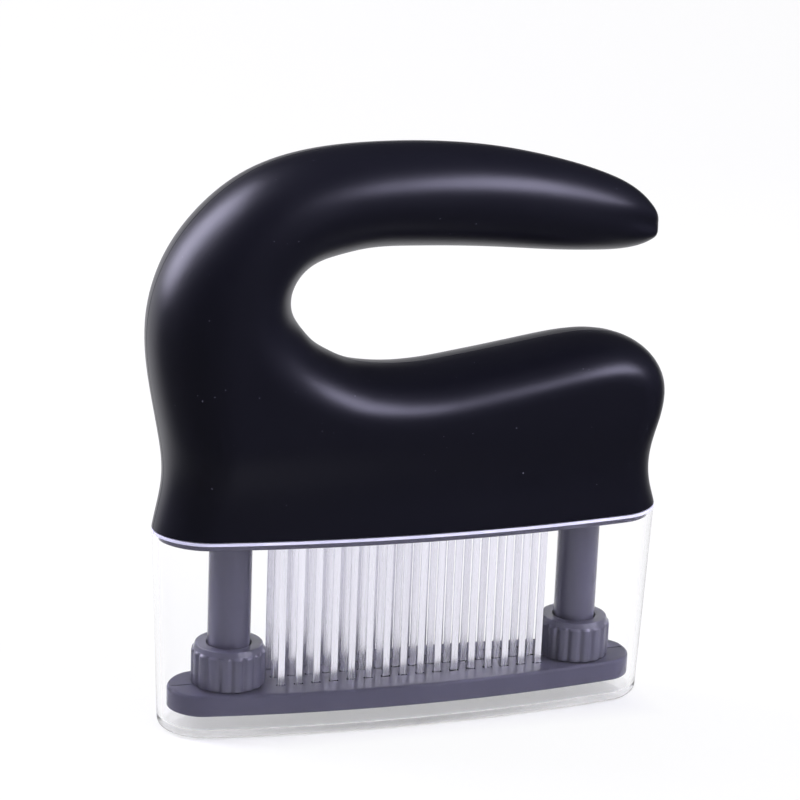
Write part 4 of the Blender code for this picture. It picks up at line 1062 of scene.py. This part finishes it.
# Lamps: name, place, what it faces, width, height, power in watts, colour. Matt lamps leave no
# highlight.
LAMPS = (
    ("left_softbox", (-0.84, 0.60, 0.76), (0.0, 0.0, 0.09), 0.60, 1.10, 24.0, (0.86, 0.84, 1.0)),
    ("front_softbox", (0.82, -0.78, 1.14), (0.0, 0.0, 0.08), 0.95, 0.55, 20.0, (0.86, 0.84, 1.0)),
    ("top_softbox", (0.10, 0.30, 1.30), (0.0, 0.0, 0.05), 1.20, 0.80, 6.0, (0.90, 0.89, 1.0)),
    ("front_fill", (0.90, -1.05, 0.50), (0.0, 0.0, 0.04), 1.20, 0.80, 12.0, (0.95, 0.94, 1.0)),
)
MATT_LAMPS = ("top_softbox", "front_fill")
WORLD_COLOUR = (0.07, 0.07, 0.09)
WORLD_SEEN = (1.0, 1.0, 1.0)


def make_light():
    """Hang the soft lamps and set the even world"""
    for name, place, aim, width, height, power, colour in LAMPS:
        lamp = bpy.data.lights.new(name, "AREA")
        lamp.shape = "RECTANGLE"
        lamp.size = width
        lamp.size_y = height
        lamp.energy = power
        lamp.color = colour
        holder = bpy.data.objects.new(name, lamp)
        holder.location = place
        holder.rotation_euler = (Vector(aim) - Vector(place)).to_track_quat("-Z", "Y").to_euler()
        holder.visible_camera = False
        holder.visible_glossy = name not in MATT_LAMPS
        bpy.context.scene.collection.objects.link(holder)
    world = bpy.data.worlds.new("studio")
    world.use_nodes = True
    tree = world.node_tree
    rays = tree.nodes.new("ShaderNodeLightPath")
    through = worked(tree, "GREATER_THAN", rays.outputs["Transmission Depth"], HALF_BOUNCE)
    direct = worked(tree, "LESS_THAN", rays.outputs["Diffuse Depth"], HALF_BOUNCE)
    seen = worked(tree, "MAXIMUM", rays.outputs["Is Camera Ray"], worked(tree, "MULTIPLY", through, direct))
    tree.links.new(mixed(tree, seen, WORLD_COLOUR, WORLD_SEEN), tree.nodes["Background"].inputs["Color"])
    bpy.context.scene.world = world


# Camera at the photograph's angle
CAMERA_PLACE = (-0.21674, -0.60301, 0.260175)
CAMERA_YAW = math.radians(19.418)
CAMERA_PITCH = math.radians(15.014)
CAMERA_ROLL = math.radians(2.305)
CAMERA_LENS = 110.1
SENSOR_WIDTH = 36.0


def make_camera():
    """Aim the camera by yaw from +Y, pitch below the horizon and roll"""
    yaw, pitch = CAMERA_YAW, CAMERA_PITCH
    ahead = Vector((math.sin(yaw) * math.cos(pitch), math.cos(yaw) * math.cos(pitch), -math.sin(pitch)))
    level = Vector((math.cos(yaw), -math.sin(yaw), 0.0))
    upright = level.cross(ahead)
    right = level * math.cos(CAMERA_ROLL) + upright * math.sin(CAMERA_ROLL)
    up = upright * math.cos(CAMERA_ROLL) - level * math.sin(CAMERA_ROLL)
    camera = bpy.data.cameras.new("camera")
    camera.sensor_width = SENSOR_WIDTH
    camera.lens = CAMERA_LENS
    holder = bpy.data.objects.new("camera", camera)
    turn = Matrix((right, up, -ahead)).transposed().to_4x4()
    holder.matrix_world = Matrix.Translation(CAMERA_PLACE) @ turn
    bpy.context.scene.collection.objects.link(holder)
    bpy.context.scene.camera = holder


def dress_cad_nodes(steel, nylon, grey):
    """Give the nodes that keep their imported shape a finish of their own"""
    finishes = {
        "guide_sleeve": nylon, "spring_cap": nylon, "screw": steel, "stop_clip": steel, "clamp_plate": grey,
    }
    for name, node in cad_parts.items():
        for ending, material in finishes.items():
            if name.endswith(ending):
                node.data.materials.clear()
                node.data.materials.append(material)


def main():
    """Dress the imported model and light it"""
    black = black_plastic()
    grey = grey_plastic("gloss_grey_plastic", 0.12, 0.40)
    blade_steel = brushed_steel("ground_blade_steel", (1.0, 1.0, 0.03), 0.24)
    wire_steel = brushed_steel("drawn_wire_steel", (1.0, 1.0, 1.0), 0.28)
    make_handle(black)
    make_carrier(grey)
    make_blades(blade_steel)
    make_guard(grey_plastic("guard_grey_plastic", 0.13, 0.07))
    make_posts(grey)
    make_collars(grey)
    clear = clear_plastic("clear_styrene", 0.0, 0.05)
    # The cover's rim gets a painted highlight and its underside a dulled finish
    make_cover(clear, rim_painted_highlight(), clear_plastic("dulled_styrene", 0.30, 0.45))
    make_springs(wire_steel)
    dress_cad_nodes(wire_steel, sleeve_nylon(), grey)
    make_stage()
    make_light()
    make_camera()
    bpy.context.scene.view_settings.view_transform = "Standard"


main()
